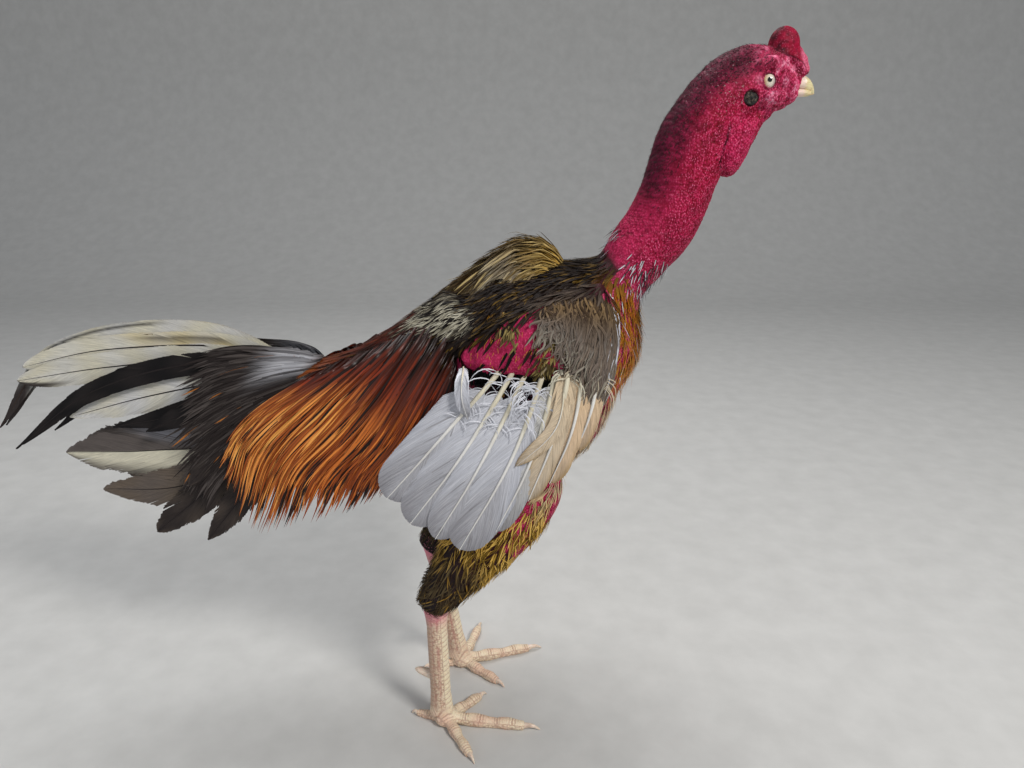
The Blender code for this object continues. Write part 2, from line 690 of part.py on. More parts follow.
def tail_node():
    """Main tail feathers as a tall tent of paired vanes, with the sickles over them."""
    rng = np.random.default_rng(SEED + 1)
    tail = ball("tail", (TAIL_ROOT[0] - 0.022, 0, 0.334), (0.030, 0.017, 0.020), 12, 6, 0.35)
    vanes = []
    for layer, row in enumerate(TAIL):
        share = layer / (len(TAIL) - 1)
        for _, sign in SIDES:
            root = (TAIL_ROOT[0], TAIL_ROOT[1] - 0.018 * share)
            points = np.array((root, row[0:2], row[2:4], row[4:6]))
            if sign > 0:
                points = points[0] + (points - points[0]) * rng.uniform(0.93, 1.0)
            flat = curve(points, 7)
            apart = (0.0018 + 0.0125 * share, 0.003 + 0.0185 * share, 0.004 + 0.030 * share)
            y = np.interp(np.linspace(0, 1, 7), (0, 0.3, 1), apart)
            path = np.column_stack([flat[:, 0], y * sign, flat[:, 1]])
            vanes.append(vane("vane", path, (0, sign, 0), feather_widths(7, row[6], row[7], 0.35)))
    union(tail, vanes, "MANIFOLD")
    carve(tail, [trunk_tube("cutter", 0.0, SADDLE_END, 14, 4 * GAP)], "MANIFOLD")
    clear_of(tail, "saddle")
    finish(tail, DARK, 0.6)


def wing_node(label, sign):
    """The folded arm beside the breast, with flight feathers and shoulder feathers that hang from it."""
    rng = np.random.default_rng(SEED + 2)
    rows = along(WING, np.linspace(0, len(WING) - 1, 9))
    wing = tube_mesh("wing_" + label, rows[:, :3] * (1, sign, 1), rows[:, 3], rows[:, 3], rows[:, 4], ring=14)
    vanes = []
    for layer, row in enumerate(FLIGHTS):
        flat = curve(np.array((row[0:2], row[2:4], row[4:6])), 6)
        outer = FLIGHT_Y + FLIGHT_STEP * layer
        y = np.interp(np.linspace(0, 1, 6), (0, 0.2, 0.7, 1), (ARM_Y, outer - 0.002, outer, outer - 0.003))
        path = np.column_stack([flat[:, 0], y * sign, flat[:, 1]])
        vanes.append(vane("vane", path, (0, sign, 0), feather_widths(6, row[6], 0.55, 0.30)))
    for tier, count in enumerate(SHOULDER_LOCKS):
        for i in range(count):
            s = i / (count - 1)
            x, z = mix((0.188, 0.436), (0.204, 0.390), s) - np.array((0.006, 0)) * tier
            length = rng.uniform(0.044, 0.050) - 0.006 * tier
            outer = 0.0955 - 0.0030 * s + 0.0030 * tier
            path = []
            for u, y in ((0, 0.068), (0.3, outer - 0.002), (0.7, outer), (1, outer - 0.004)):
                path.append((x - 0.014 * u * (1 - 0.5 * s), sign * y, z - length * u))
            vanes.append(vane("covert", path, (0.2, sign, 0), feather_widths(4, 0.0105, 0.3, 0.6)))
    union(wing, vanes, "MANIFOLD")
    clear_of(wing, "torso", "neck_lower", "saddle", "thigh_" + label)
    finish(wing, WHITE, 0.6)


def cape_node():
    """The tuft of hackle left at the foot of the bare neck, lying back between the shoulders."""
    rng = np.random.default_rng(SEED + 3)
    path = along(CAPE_SPINE, np.linspace(0, 5, 8))
    depth = np.interp(np.arange(8), (0, 1, 3, 6, 7), (0.005, 0.012, 0.018, 0.012, 0.004))
    width = np.interp(np.arange(8), (0, 1, 3, 6, 7), (0.010, 0.026, 0.040, 0.032, 0.010))
    cape = tube_mesh("cape", path, depth, depth, width, ring=14)
    locks = []
    for tier, count in enumerate(CAPE_LOCKS):
        for i in range(count):
            across = (i - (count - 1) / 2) / (count - 1) * 2
            height = 0.459 - 0.005 * across ** 2 - 0.006 * tier
            start = np.array((0.174 - 0.022 * tier, across * 0.020, height))
            length = rng.uniform(0.056, 0.066)
            points = []
            for u in np.linspace(0, 1, 5):
                rise = 0.016 * math.sin(math.pi * min(u * 1.1, 1)) - 0.016 * u * u - 0.004 * tier * u
                points.append(start + (-length * u, across * 0.020 * u, rise - 0.010 * u * across ** 2))
            locks.append(vane("lock", points, (0.1, across * 0.7, 1.0), feather_widths(5, 0.0085, 0.25, 0.5)))
    union(cape, locks, "MANIFOLD")
    clear_of(cape, "torso", "neck_lower", "saddle", "wing_right", "wing_left")
    finish(cape, BROWN, 0.8)


def clear_scene():
    for shape in list(bpy.data.objects):
        bpy.data.objects.remove(shape)


def main():
    clear_scene()
    trunk_nodes()
    head_node()
    beak_nodes()
    comb_node()
    wattle_node()
    thigh_nodes()
    for label, sign in SIDES:
        foot_nodes(label, sign)
    saddle_node()
    tail_node()
    for label, sign in SIDES:
        wing_node(label, sign)
    cape_node()


main()
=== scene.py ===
import itertools
import math

import bmesh
import bpy
import numpy as np
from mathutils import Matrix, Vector
from mathutils.bvhtree import BVHTree


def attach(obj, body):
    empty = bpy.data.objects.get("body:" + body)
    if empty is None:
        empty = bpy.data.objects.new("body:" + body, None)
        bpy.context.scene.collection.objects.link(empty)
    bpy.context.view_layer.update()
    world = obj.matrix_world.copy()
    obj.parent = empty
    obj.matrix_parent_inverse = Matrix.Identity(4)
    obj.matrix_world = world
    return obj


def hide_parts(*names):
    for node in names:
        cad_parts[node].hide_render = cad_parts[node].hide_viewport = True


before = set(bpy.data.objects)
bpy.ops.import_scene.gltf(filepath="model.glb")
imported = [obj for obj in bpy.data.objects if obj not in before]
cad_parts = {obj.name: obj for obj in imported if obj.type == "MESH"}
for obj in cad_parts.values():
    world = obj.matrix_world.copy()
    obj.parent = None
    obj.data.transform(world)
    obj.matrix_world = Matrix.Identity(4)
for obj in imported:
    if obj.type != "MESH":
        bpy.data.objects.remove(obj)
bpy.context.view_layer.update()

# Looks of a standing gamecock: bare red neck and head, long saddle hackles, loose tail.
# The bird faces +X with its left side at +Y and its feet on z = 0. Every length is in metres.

SIDES = (("right", -1.0), ("left", 1.0))
SEED = 11

# Camera of the photograph
CAMERA_AT = (0.12, -0.70, 0.545)
CAMERA_PITCH = math.radians(16.5)
FOCAL_SHARE = 769.0 / 1024  # focal length over the width of the picture
SENSOR = 36.0

# Mesh sizes of the skins
SKIN_VOXEL = 0.00125
LEG_VOXEL = 0.00075

# Stations of the trunk, neck and head, from the tail root to the foot of the beak:
# x, z, reach to the back, reach to the belly, half width
TRUNK = (
    (-0.090, 0.342, 0.012, 0.013, 0.012),
    (-0.058, 0.341, 0.020, 0.034, 0.033),
    (-0.012, 0.333, 0.049, 0.056, 0.055),
    (0.036, 0.330, 0.081, 0.080, 0.072),
    (0.082, 0.335, 0.097, 0.095, 0.082),
    (0.124, 0.354, 0.090, 0.105, 0.084),
    (0.160, 0.387, 0.080, 0.083, 0.078),
    (0.187, 0.418, 0.050, 0.070, 0.062),
    (0.209, 0.4415, 0.022, 0.040, 0.040),
    (0.229, 0.460, 0.026, 0.031, 0.0315),
    (0.250, 0.483, 0.030, 0.0305, 0.030),
    (0.2625, 0.508, 0.0305, 0.030, 0.0295),
    (0.270, 0.533, 0.031, 0.031, 0.0295),
    (0.279, 0.558, 0.032, 0.031, 0.029),
    (0.295, 0.583, 0.031, 0.029, 0.027),
    (0.3155, 0.6005, 0.032, 0.026, 0.0225),
    (0.336, 0.606, 0.0265, 0.0265, 0.0195),
    (0.352, 0.6035, 0.0185, 0.0195, 0.0145),
    (0.3625, 0.603, 0.011, 0.0115, 0.009),
)
LAST = len(TRUNK) - 1
MAP_X = np.linspace(-0.12, 0.24, 121)  # the side view's steps for finding the skin's reach
MAP_Z = np.linspace(0.16, 0.50, 115)
BARE_FROM = 8.6  # the station where the bare neck starts
COAT_DEPTH = 0.0022  # how far the skin lies inside the solids under the feathers

EYE = (0.3328, 0.0145, 0.6050)
EYE_R = 0.0072
LID_TALL, LID_WIDE = 0.0058, 0.0047  # half height and width of the opening
EAR = (0.3178, 0.0210, 0.5912)
EAR_R = 0.0068
BEHIND_EAR = (0.300, 0.590)  # x and z of the scurf
NOSTRIL = (0.3662, 0.0070, 0.6062)
NOSTRIL_SIZE = (0.0020, 0.004, 0.0011)
GAPE = (0.3650, 0.5985)  # x and z of the corner of the beak
BROW = (
    (0.3215, 0.0205, 0.6145),
    (0.3290, 0.0203, 0.6188),
    (0.3390, 0.0185, 0.6180),
    (0.3480, 0.0145, 0.6120),
)
BROW_R = (0.0020, 0.0040, 0.0040, 0.0020)
CHEEK = ((0.3300, 0.0200, 0.5935), (0.3390, 0.0185, 0.5915), (0.3490, 0.0145, 0.5945))
CHEEK_R = (0.0025, 0.0050, 0.0025)
COMB_LUMPS = (  # centre, radii and turn
    ((0.3483, 0, 0.6345), (0.0126, 0.0088, 0.0144), 0.10),
    ((0.3475, 0, 0.6275), (0.0130, 0.0092, 0.0095), 0.35),
)
COMB_BULBS = ((0.3575, 0.6270, 0.0072), (0.3625, 0.6215, 0.0066), (0.3660, 0.6155, 0.0052))  # x, z, radius
COMB_EDGE = ((0.334, 0.340, 0.362, 0.368), (0.6325, 0.6290, 0.6200, 0.6125))  # x and z of its lower edge
COMB_FRONT = (0.3600, 0.3640)  # x between which its front bulb starts
THROAT = (
    (0.3480, 0, 0.5910),
    (0.3390, 0, 0.5850),
    (0.3270, 0, 0.5755),
    (0.3190, 0, 0.5610),
    (0.3130, 0, 0.5480),
    (0.3080, 0, 0.5370),
    (0.3020, 0, 0.5330),
)
THROAT_R = (0.0045, 0.0070, 0.0095, 0.0102, 0.0105, 0.0092, 0.0050)
LOBE = (
    (0.3330, 0.0110, 0.5830),
    (0.3215, 0.0140, 0.5700),
    (0.3125, 0.0150, 0.5570),
    (0.3080, 0.0135, 0.5440),
    (0.3060, 0.0100, 0.5345),
)
LOBE_R = (0.0030, 0.0065, 0.0088, 0.0090, 0.0060)
# Painted shadow behind the throat lobe
CREASE_SHADOW = (  # x and z of the dark line behind the throat
    (0.2990, 0.2968, 0.2985, 0.3009, 0.3018),
    (0.5320, 0.5395, 0.5500, 0.5621, 0.5725),
)

# Folded wing: x, distance from the mid plane, z, half height, half thickness
WING = (
    (0.214, 0.062, 0.400, 0.010, 0.006),
    (0.207, 0.068, 0.398, 0.034, 0.014),
    (0.190, 0.073, 0.397, 0.050, 0.019),
    (0.155, 0.080, 0.400, 0.037, 0.020),
    (0.115, 0.083, 0.393, 0.025, 0.016),
    (0.085, 0.080, 0.386, 0.013, 0.009),
    (0.078, 0.078, 0.384, 0.004, 0.003),
)
ARM_Y = 0.082
ARM_DEPTH = 0.001  # how far the arm's skin lies inside its solid
FLIGHT_Y = 0.0955  # how far out the innermost layer of quills hangs
FLIGHT_STEP = 0.0013  # from one layer to the next
# Flight feathers: x and z of the start, the middle and the tip, and the half width
FLIGHTS = (
    (0.118, 0.385, 0.060, 0.318, 0.012, 0.262, 0.0165),
    (0.126, 0.384, 0.078, 0.304, 0.031, 0.238, 0.0165),
    (0.135, 0.382, 0.094, 0.297, 0.053, 0.225, 0.0150),
    (0.148, 0.380, 0.119, 0.300, 0.074, 0.215, 0.0170),
    (0.158, 0.378, 0.136, 0.300, 0.106, 0.232, 0.0120),
    (0.169, 0.390, 0.156, 0.325, 0.134, 0.262, 0.0110),
    (0.180, 0.395, 0.171, 0.330, 0.152, 0.277, 0.0105),
    (0.189, 0.390, 0.187, 0.350, 0.174, 0.306, 0.0085),
)
# Lines that the saddle hackles follow in the side view, from the tail to the wing: x and z from the back down
FLOW = (
    ((-0.053, 0.358), (-0.072, 0.350), (-0.108, 0.328), (-0.132, 0.306), (-0.148, 0.284)),
    ((-0.003, 0.381), (-0.034, 0.359), (-0.080, 0.325), (-0.116, 0.288), (-0.131, 0.244)),
    ((0.029, 0.400), (-0.003, 0.367), (-0.045, 0.325), (-0.086, 0.280), (-0.109, 0.229)),
    ((0.048, 0.410), (0.009, 0.355), (-0.031, 0.307), (-0.068, 0.268), (-0.085, 0.229)),
    ((0.064, 0.403), (0.032, 0.352), (0.000, 0.302), (-0.028, 0.268), (-0.043, 0.238)),
    ((0.071, 0.390), (0.049, 0.351), (0.025, 0.307), (0.004, 0.276), (-0.010, 0.250)),
    ((0.074, 0.372), (0.063, 0.345), (0.045, 0.316), (0.026, 0.292), (0.014, 0.264)),
)
# Lines of the dark coverts over the foot of the tail, from the top down
COVERTS = (
    ((-0.050, 0.364), (-0.088, 0.374), (-0.129, 0.377), (-0.165, 0.373), (-0.198, 0.360)),
    ((-0.052, 0.361), (-0.096, 0.363), (-0.140, 0.356), (-0.178, 0.339), (-0.212, 0.322)),
    ((-0.054, 0.355), (-0.102, 0.346), (-0.152, 0.327), (-0.192, 0.302), (-0.232, 0.277)),
    ((-0.056, 0.347), (-0.107, 0.327), (-0.152, 0.297), (-0.187, 0.267), (-0.209, 0.242)),
    ((-0.058, 0.340), (-0.101, 0.307), (-0.137, 0.272), (-0.161, 0.242), (-0.174, 0.216)),
)
# Lines of the soft shoulder feathers, from the breast back
SHOULDER = (
    ((0.205, 0.432), (0.207, 0.412), (0.206, 0.388), (0.201, 0.362), (0.193, 0.338)),
    ((0.193, 0.438), (0.197, 0.418), (0.197, 0.394), (0.193, 0.367), (0.185, 0.342)),
    ((0.179, 0.440), (0.183, 0.421), (0.183, 0.398), (0.180, 0.372), (0.174, 0.348)),
    ((0.164, 0.439), (0.167, 0.425), (0.167, 0.408), (0.165, 0.388), (0.160, 0.370)),
    ((0.148, 0.434), (0.149, 0.424), (0.147, 0.416), (0.145, 0.402), (0.140, 0.389)),
)
# Patches of the side view: x, z, half length, half height
ARM = (0.120, 0.400, 0.046, 0.036)
LOBE_PATCH = (0.3130, 0.5520, 0.016, 0.026)
UNDER_QUILLS = (0.1225, 0.348, 0.043, 0.022)
ARM_TUFTS = ((0.1184, 0.4142, 0.008, 0.008), (0.1522, 0.4069, 0.010, 0.016), (0.150, 0.385, 0.009, 0.008))
FLANK_BARE = ((0.058, 0.328, 0.015, 0.012), (0.014, 0.279, 0.013, 0.020))
BELLY_BARE = ((0.1630, 0.2469, 0.008, 0.016), (0.1322, 0.2071, 0.022, 0.007))
BACK_PALE = ((0.0442, 0.414, 0.022, 0.012), (0.0754, 0.416, 0.020, 0.009))
BREAST_FRONT = (0.214, 0.392, 0.022, 0.052)
ARM_EDGE = (  # x and z of the bare arm's upper edge
    (0.074, 0.084, 0.102, 0.127, 0.151, 0.200),
    (0.382, 0.396, 0.411, 0.422, 0.430, 0.424),
)

TAIL_ROOT = (-0.070, 0.345)
# Tail feathers of each side from the inside out: x and z of two points and the tip, half width, bluntness
TAIL = (
    (-0.164, 0.386, -0.302, 0.370, -0.3716, 0.2948, 0.0120, 0.10),
    (-0.140, 0.374, -0.254, 0.373, -0.3377, 0.3562, 0.0125, 0.60),
    (-0.141, 0.364, -0.251, 0.357, -0.3431, 0.3434, 0.0135, 0.50),
    (-0.139, 0.343, -0.220, 0.329, -0.2976, 0.3087, 0.0130, 0.25),
    (-0.136, 0.285, -0.226, 0.275, -0.3055, 0.2744, 0.0195, 0.35),
    (-0.127, 0.270, -0.201, 0.239, -0.2745, 0.2373, 0.0150, 0.35),
    (-0.129, 0.328, -0.193, 0.312, -0.2540, 0.3016, 0.0140, 0.08),
    (-0.154, 0.362, -0.264, 0.338, -0.3470, 0.2807, 0.0105, 0.08),
    (-0.117, 0.287, -0.167, 0.242, -0.2242, 0.1956, 0.0130, 0.45),
    (-0.104, 0.278, -0.135, 0.237, -0.1745, 0.1885, 0.0120, 0.30),
    (-0.116, 0.338, -0.164, 0.323, -0.2182, 0.3007, 0.0130, 0.20),
    (-0.108, 0.318, -0.144, 0.291, -0.1846, 0.2477, 0.0130, 0.20),
)
CAPE_TOP = (  # x and z of the tuft's upper outline
    (0.030, 0.046, 0.073, 0.100, 0.122, 0.146, 0.160, 0.166, 0.172),
    (0.408, 0.420, 0.441, 0.462, 0.476, 0.478, 0.472, 0.466, 0.452),
)

# Leg: knee, hock and ankle, with the signed y of each leg
LEGS = {
    "right": {
        "knee": (0.126, -0.055, 0.250),
        "hock": (0.047, -0.056, 0.140),
        "ankle": (0.050, -0.0555, 0.012),
    },
    "left": {
        "knee": (0.120, 0.055, 0.252),
        "hock": (0.036, 0.046, 0.146),
        "ankle": (0.061, 0.037, 0.012),
    },
}
THIGH = (  # share of the way from knee to hock, half depth, half width
    (-0.32, 0.020, 0.014),
    (-0.12, 0.037, 0.028),
    (0.18, 0.041, 0.031),
    (0.45, 0.036, 0.028),
    (0.70, 0.029, 0.024),
    (0.90, 0.0225, 0.0195),
    (1.06, 0.0165, 0.0150),
)
SHANK_DEPTH, SHANK_WIDTH = 0.0100, 0.0078
TOE_TIPS = {  # where each claw ends on the ground, x and y
    "right": {
        "hallux": (0.018, -0.043),
        "inner": (0.093, -0.014),
        "middle": (0.148, -0.067),
        "outer": (0.085, -0.112),
    },
    "left": {
        "hallux": (0.022, 0.028),
        "inner": (0.112, -0.004),
        "middle": (0.154, 0.066),
        "outer": (0.083, 0.114),
    },
}
TOE_R = {"hallux": 0.0052, "inner": 0.0062, "middle": 0.0068, "outer": 0.0060}
CLAW_SHARE = 0.17
PAD_R, PAD_H = 0.0125, 0.0150
# How thick a claw is at shares of its length, as a share of the toe's end
CLAW_TAPER = ((-0.12, 0.0, 0.3, 0.7, 0.93, 1.0), (0.80, 0.78, 0.62, 0.38, 0.20, 0.05))
# Radius of a spur at shares of its length
SPUR_SIZE = ((0, 0.4, 0.75, 0.93, 1.0), (0.0052, 0.0046, 0.0036, 0.0020, 0.0004))

FAN_LANES, FAN_RUNS = 61, 45  # the table that a fan of lines is read from
FAN_END = 1.1  # how far the table reaches along the lines
ROOT_PATCH = 0.003  # how much of the unwrap one leaf covers
BARB_TAPER = (0.9, 1.0, 1.0, 0.9, 0.6)  # widths along a barb
# Large feathers. Quill is the shaft's thickness, bare the share of it without a vane, step the distance
# between barbs, lean their angle in degrees, root the width at the foot over the largest, and proud how far
# the shaft stands out. Camber bends the vane, and bundles, ragged and loose say how its barbs part.
TAIL_SHAPE = dict(quill=0.0013, bare=0.05, step=0.00075, lean=22.0, root=0.35, proud=0.0)
TAIL_SHAPE |= dict(camber=0.12, ragged=0.12, loose=0.0)
FLIGHT_SHAPE = dict(step=0.0006, lean=25.0, root=0.6, proud=0.0009)
FLIGHT_SHAPE |= dict(camber=0.08, bundles=6, ragged=0.04, loose=0.9)


def ink(text):
    """A colour written as six hex digits, in linear light."""
    values = [int(text[i : i + 2], 16) / 255 for i in (0, 2, 4)]
    return np.array([v / 12.92 if v <= 0.04045 else ((v + 0.055) / 1.055) ** 2.4 for v in values])


# Colours
CRIMSON = ink("a00e36")
DEEP_RED = ink("3a0614")
MAROON = ink("631030")
ROSE = ink("e23a72")
PINK = ink("f588a8")
MAGENTA = ink("a01c48")
SCAB = ink("1a1211")
PALE_BONE = ink("eee6cd")
LEG_PALE = ink("f0e2c4")
LEG_PINK = ink("e2b49e")
LEG_RED = ink("a8404a")
BLACK = ink("0d0b0d")
SOOT = ink("231d1d")
COAL = ink("332c2b")
SLATE = ink("5d5653")
BROWN = ink("38281a")
DUN = ink("75685c")
OLIVE = ink("4f421a")
GOLD = ink("c09024")
STRAW = ink("d8c07a")
CREAM = ink("d2cdb9")
PEACH = ink("e6c8a2")
UMBER = ink("24120c")
RUST = ink("73270c")
ORANGE = ink("bf5c14")
AMBER = ink("e0994a")
WHITE = ink("e2e4ec")
GREY = ink("9a9ca6")
CHALK = WHITE * 0.8


# Numbers and curves


def unit(v):
    v = np.asarray(v, float)
    return v / np.maximum(np.linalg.norm(v, axis=-1, keepdims=True), 1e-12)


def mix(a, b, share):
    a, b, share = (np.asarray(v, float) for v in (a, b, share))
    if share.ndim and a.ndim and share.shape != a.shape:
        share = share[..., None]
    return a * (1 - share) + b * share


def step_up(x, low, high):
    """0 below low, 1 above high, and a soft step between them."""
    t = np.clip((np.asarray(x, float) - low) / (high - low), 0, 1)
    return t * t * (3 - 2 * t)


def bell(x, middle, width):
    """1 at the middle and falling off softly to both sides."""
    return np.exp(-(((x - middle) / width) ** 2))


def between(x, start, full, fall, gone):
    """0 up to start, 1 from full to fall, and 0 again from gone on."""
    return step_up(x, start, full) * (1 - step_up(x, fall, gone))


def along(rows, t):
    """A smooth curve through rows, read at the places t, where row i is at t = i."""
    rows = np.asarray(rows, float)
    ends = np.vstack([2 * rows[0] - rows[1], rows, 2 * rows[-1] - rows[-2]])
    t = np.clip(np.atleast_1d(np.asarray(t, float)), 0, len(rows) - 1)
    i = np.minimum(t.astype(int), len(rows) - 2)
    f = (t - i)[:, None]
    a, b, c, d = (ends[i + k] for k in range(4))
    return 0.5 * (2 * b + (c - a) * f + (2 * a - 5 * b + 4 * c - d) * f**2 + (3 * b - a - 3 * c + d) * f**3)


def through(rows, count):
    """A smooth curve through rows, read at count places."""
    return along(rows, np.linspace(0, len(rows) - 1, count))


def curve(points, count):
    """Points at even distances along a smooth curve."""
    fine = through(points, 80)
    length = np.concatenate([[0], np.cumsum(np.linalg.norm(np.diff(fine, axis=0), axis=1))])
    at = np.linspace(0, length[-1], count)
    return np.column_stack([np.interp(at, length, fine[:, k]) for k in range(fine.shape[1])])


def read_at(table, s):
    """Rows of a table of points, read at shares of its length."""
    places = np.linspace(0, 1, len(table))
    return np.stack([np.interp(s, places, table[:, k]) for k in range(3)], -1)


def read_grid(table, i, j):
    """Values of a table at row i and column j, also between them."""
    i, j = np.broadcast_arrays(i, j)
    a, b = i.astype(int), j.astype(int)
    f, g = i - a, j - b
    if table.ndim > 2:
        f, g = f[..., None], g[..., None]
    low = table[a, b] * (1 - g) + table[a, b + 1] * g
    high = table[a + 1, b] * (1 - g) + table[a + 1, b + 1] * g
    return low * (1 - f) + high * f


def beside(flat, y):
    """A path with x and z from the side view, y off the mid plane."""
    return np.column_stack([flat[:, 0], np.broadcast_to(y, len(flat)), flat[:, 1]])


def flat_gap(points, spot):
    """How far points are from a spot of the side view."""
    return np.linalg.norm(points[:, [0, 2]] - spot, axis=1)


def lattice(cells, seed):
    """A random number from 0 to 1 for each whole-number cell."""
    h = cells[..., 0] * 73856093 ^ cells[..., 1] * 19349663 ^ cells[..., 2] * 83492791 ^ seed * 26544357
    h = (h ^ (h >> 13)) * 1274126177
    return ((h ^ (h >> 16)) & 0xFFFFFF) / float(0xFFFFFF)


def noise(points, size, seed=0):
    """Smooth noise from -1 to 1 whose lumps are size across."""
    p = np.asarray(points, float) / size
    base = np.floor(p).astype(np.int64)
    f = p - base
    f = f * f * (3 - 2 * f)
    total = np.zeros(p.shape[:-1])
    for corner in itertools.product((0, 1), repeat=3):
        weight = np.prod(np.where(np.array(corner) == 1, f, 1 - f), axis=-1)
        total += weight * lattice(base + np.array(corner), seed)
    return total * 2 - 1


def pebbles(points, size, seed):
    """How far each point is from the middle of its pebble, in shares of size."""
    p = np.asarray(points, float) / size
    base = np.floor(p).astype(np.int64)
    best = np.full(len(p), 9.0)
    for step in itertools.product((-1, 0, 1), repeat=3):
        cell = base + np.array(step)
        jitter = np.stack([lattice(cell, seed + k) for k in range(3)], axis=-1)
        best = np.minimum(best, np.linalg.norm(p - cell - 0.15 - 0.7 * jitter, axis=1))
    return best


def pebble_tops(points, size, seed):
    """1 on the top of each pebble, falling to 0 at its edge."""
    return 1 - np.clip(pebbles(points, size, seed), 0, 1) ** 2


# Places on the trunk

PLACES = np.linspace(0, LAST, 241)
AXIS = along(TRUNK, PLACES)
AXIS_AHEAD = unit(np.gradient(AXIS[:, :2], axis=0))


def trunk_place(points):
    """Station and angle round the trunk of each point: 0 at the bird's left, a quarter turn on its back."""
    points = np.asarray(points, float)
    flat = points[:, [0, 2]]
    near = np.empty(len(points), int)
    for i in range(0, len(points), 8000):
        near[i : i + 8000] = ((flat[i : i + 8000, None] - AXIS[None, :, :2]) ** 2).sum(2).argmin(1)
    delta = flat - AXIS[near, :2]
    ahead = AXIS_AHEAD[near]
    height = ahead[:, 0] * delta[:, 1] - ahead[:, 1] * delta[:, 0]
    forward = (delta * ahead).sum(1)
    spacing = np.linalg.norm(np.gradient(AXIS[:, :2], axis=0), axis=1)[near]
    station = PLACES[near] + np.clip(forward / spacing, -1, 1) * (PLACES[1] - PLACES[0])
    return station, np.arctan2(height, points[:, 1])


def trunk_point(station, angle, lift=0.0):
    """Points on the trunk's surface, their outward normals and the way the trunk runs forward."""
    station, angle = np.broadcast_arrays(np.asarray(station, float), np.asarray(angle, float))
    rows = along(TRUNK, station)
    ahead = along(TRUNK, station + 0.02) - along(TRUNK, station - 0.02)
    tangent = unit(beside(ahead, 0.0))
    up = np.cross(tangent, (0, 1, 0))
    reach = np.where(np.sin(angle) > 0, rows[:, 2], rows[:, 3])
    left = np.array((0.0, 1.0, 0.0))
    cos, sin = np.cos(angle)[:, None], np.sin(angle)[:, None]
    out = unit(left * cos / rows[:, 4:5] + up * sin / reach[:, None])
    points = beside(rows, 0.0) + left * cos * rows[:, 4:5] + up * sin * reach[:, None]
    return points + out * lift, out, tangent


# Meshes


def tube(centres, ups, downs, widths, side_hint=(0, 1, 0), ring=24, tangents=None):
    """Points and faces of a closed tube of oval rings, whose width lies along the hint."""
    centres = np.asarray(centres, float)
    ups, downs, widths = (np.broadcast_to(np.asarray(v, float), len(centres)) for v in (ups, downs, widths))
    tangents = unit(np.gradient(centres, axis=0) if tangents is None else tangents)
    hint = np.broadcast_to(np.asarray(side_hint, float), tangents.shape)
    side = unit(hint - (hint * tangents).sum(1, keepdims=True) * tangents)
    normal = np.cross(tangents, side)
    angle = np.arange(ring) * 2 * math.pi / ring
    reach = np.where(np.sin(angle) > 0, ups[:, None], downs[:, None]) * np.sin(angle)
    points = centres[:, None] + side[:, None] * (widths[:, None] * np.cos(angle))[..., None]
    points = points + normal[:, None] * reach[..., None]
    count = len(centres)
    i, j = np.meshgrid(np.arange(count - 1), np.arange(ring), indexing="ij")
    k = (j + 1) % ring
    faces = np.stack([i * ring + j, i * ring + k, (i + 1) * ring + k, (i + 1) * ring + j], -1).reshape(-1, 4)
    ends = points.mean(1)[[0, -1]]
    j = np.arange(ring)
    k = (j + 1) % ring
    first, last = count * ring, count * ring + 1
    low = np.column_stack([np.full(ring, first), k, j])
    high = np.column_stack([np.full(ring, last), (count - 1) * ring + j, (count - 1) * ring + k])
    return np.vstack([points.reshape(-1, 3), ends]), faces.tolist() + low.tolist() + high.tolist()


def ball(centre, radii, turn=0.0, segments=24, rings=14):
    """Points and faces of an ellipsoid, turned about Y by turn radians."""
    bm = bmesh.new()
    bmesh.ops.create_uvsphere(bm, u_segments=segments, v_segments=rings, radius=1.0)
    local = np.array([v.co for v in bm.verts]) * radii
    faces = [[v.index for v in f.verts] for f in bm.faces]
    bm.free()
    c, s = math.cos(turn), math.sin(turn)
    x, z = c * local[:, 0] + s * local[:, 2], c * local[:, 2] - s * local[:, 0]
    return np.column_stack([x, local[:, 1], z]) + np.asarray(centre, float), faces


def roll(points, radii, count, squash=1.0, ring=14):
    """A rounded roll of skin through points. Squash is its width over its depth."""
    sizes = through([(r,) for r in radii], count)[:, 0]
    return tube(through(points, count), sizes, sizes, sizes * squash, ring=ring)


def trunk_tube():
    """The whole trunk with neck and head, as the bare body under the coat."""
    places = np.linspace(0.1, LAST, 150)
    rows = along(TRUNK, places)
    ahead = along(TRUNK, places + 0.01) - along(TRUNK, places - 0.01)
    inside = COAT_DEPTH * (1 - step_up(places, BARE_FROM - 1, BARE_FROM + 0.5))
    sizes = rows[:, 2:] - inside[:, None]
    return tube(beside(rows, 0.0), *sizes.T, ring=48, tangents=beside(ahead, 0.0))


def mirrored(points, sign):
    return [(p[0], p[1] * sign, p[2]) for p in points]


def link(name, mesh):
    piece = bpy.data.objects.new(name, mesh)
    bpy.context.scene.collection.objects.link(piece)
    return piece


def from_arrays(name, points, faces):
    """A mesh object from arrays, where every face has four corners."""
    mesh = bpy.data.meshes.new(name)
    count = len(faces)
    mesh.vertices.add(len(points))
    mesh.vertices.foreach_set("co", np.asarray(points, np.float32).ravel())
    mesh.loops.add(count * 4)
    mesh.loops.foreach_set("vertex_index", np.asarray(faces, np.int32).ravel())
    mesh.polygons.add(count)
    mesh.polygons.foreach_set("loop_start", np.arange(0, count * 4, 4, dtype=np.int32))
    mesh.update(calc_edges=True)
    mesh.shade_smooth()
    return link(name, mesh)


def joined(name, shapes):
    """One mesh object of several closed shapes."""
    points, faces, offset = [], [], 0
    for shape_points, shape_faces in shapes:
        points.append(shape_points)
        faces += [[i + offset for i in face] for face in shape_faces]
        offset += len(shape_points)
    mesh = bpy.data.meshes.new(name)
    mesh.from_pydata(np.vstack(points).tolist(), [], faces)
    return link(name, mesh)


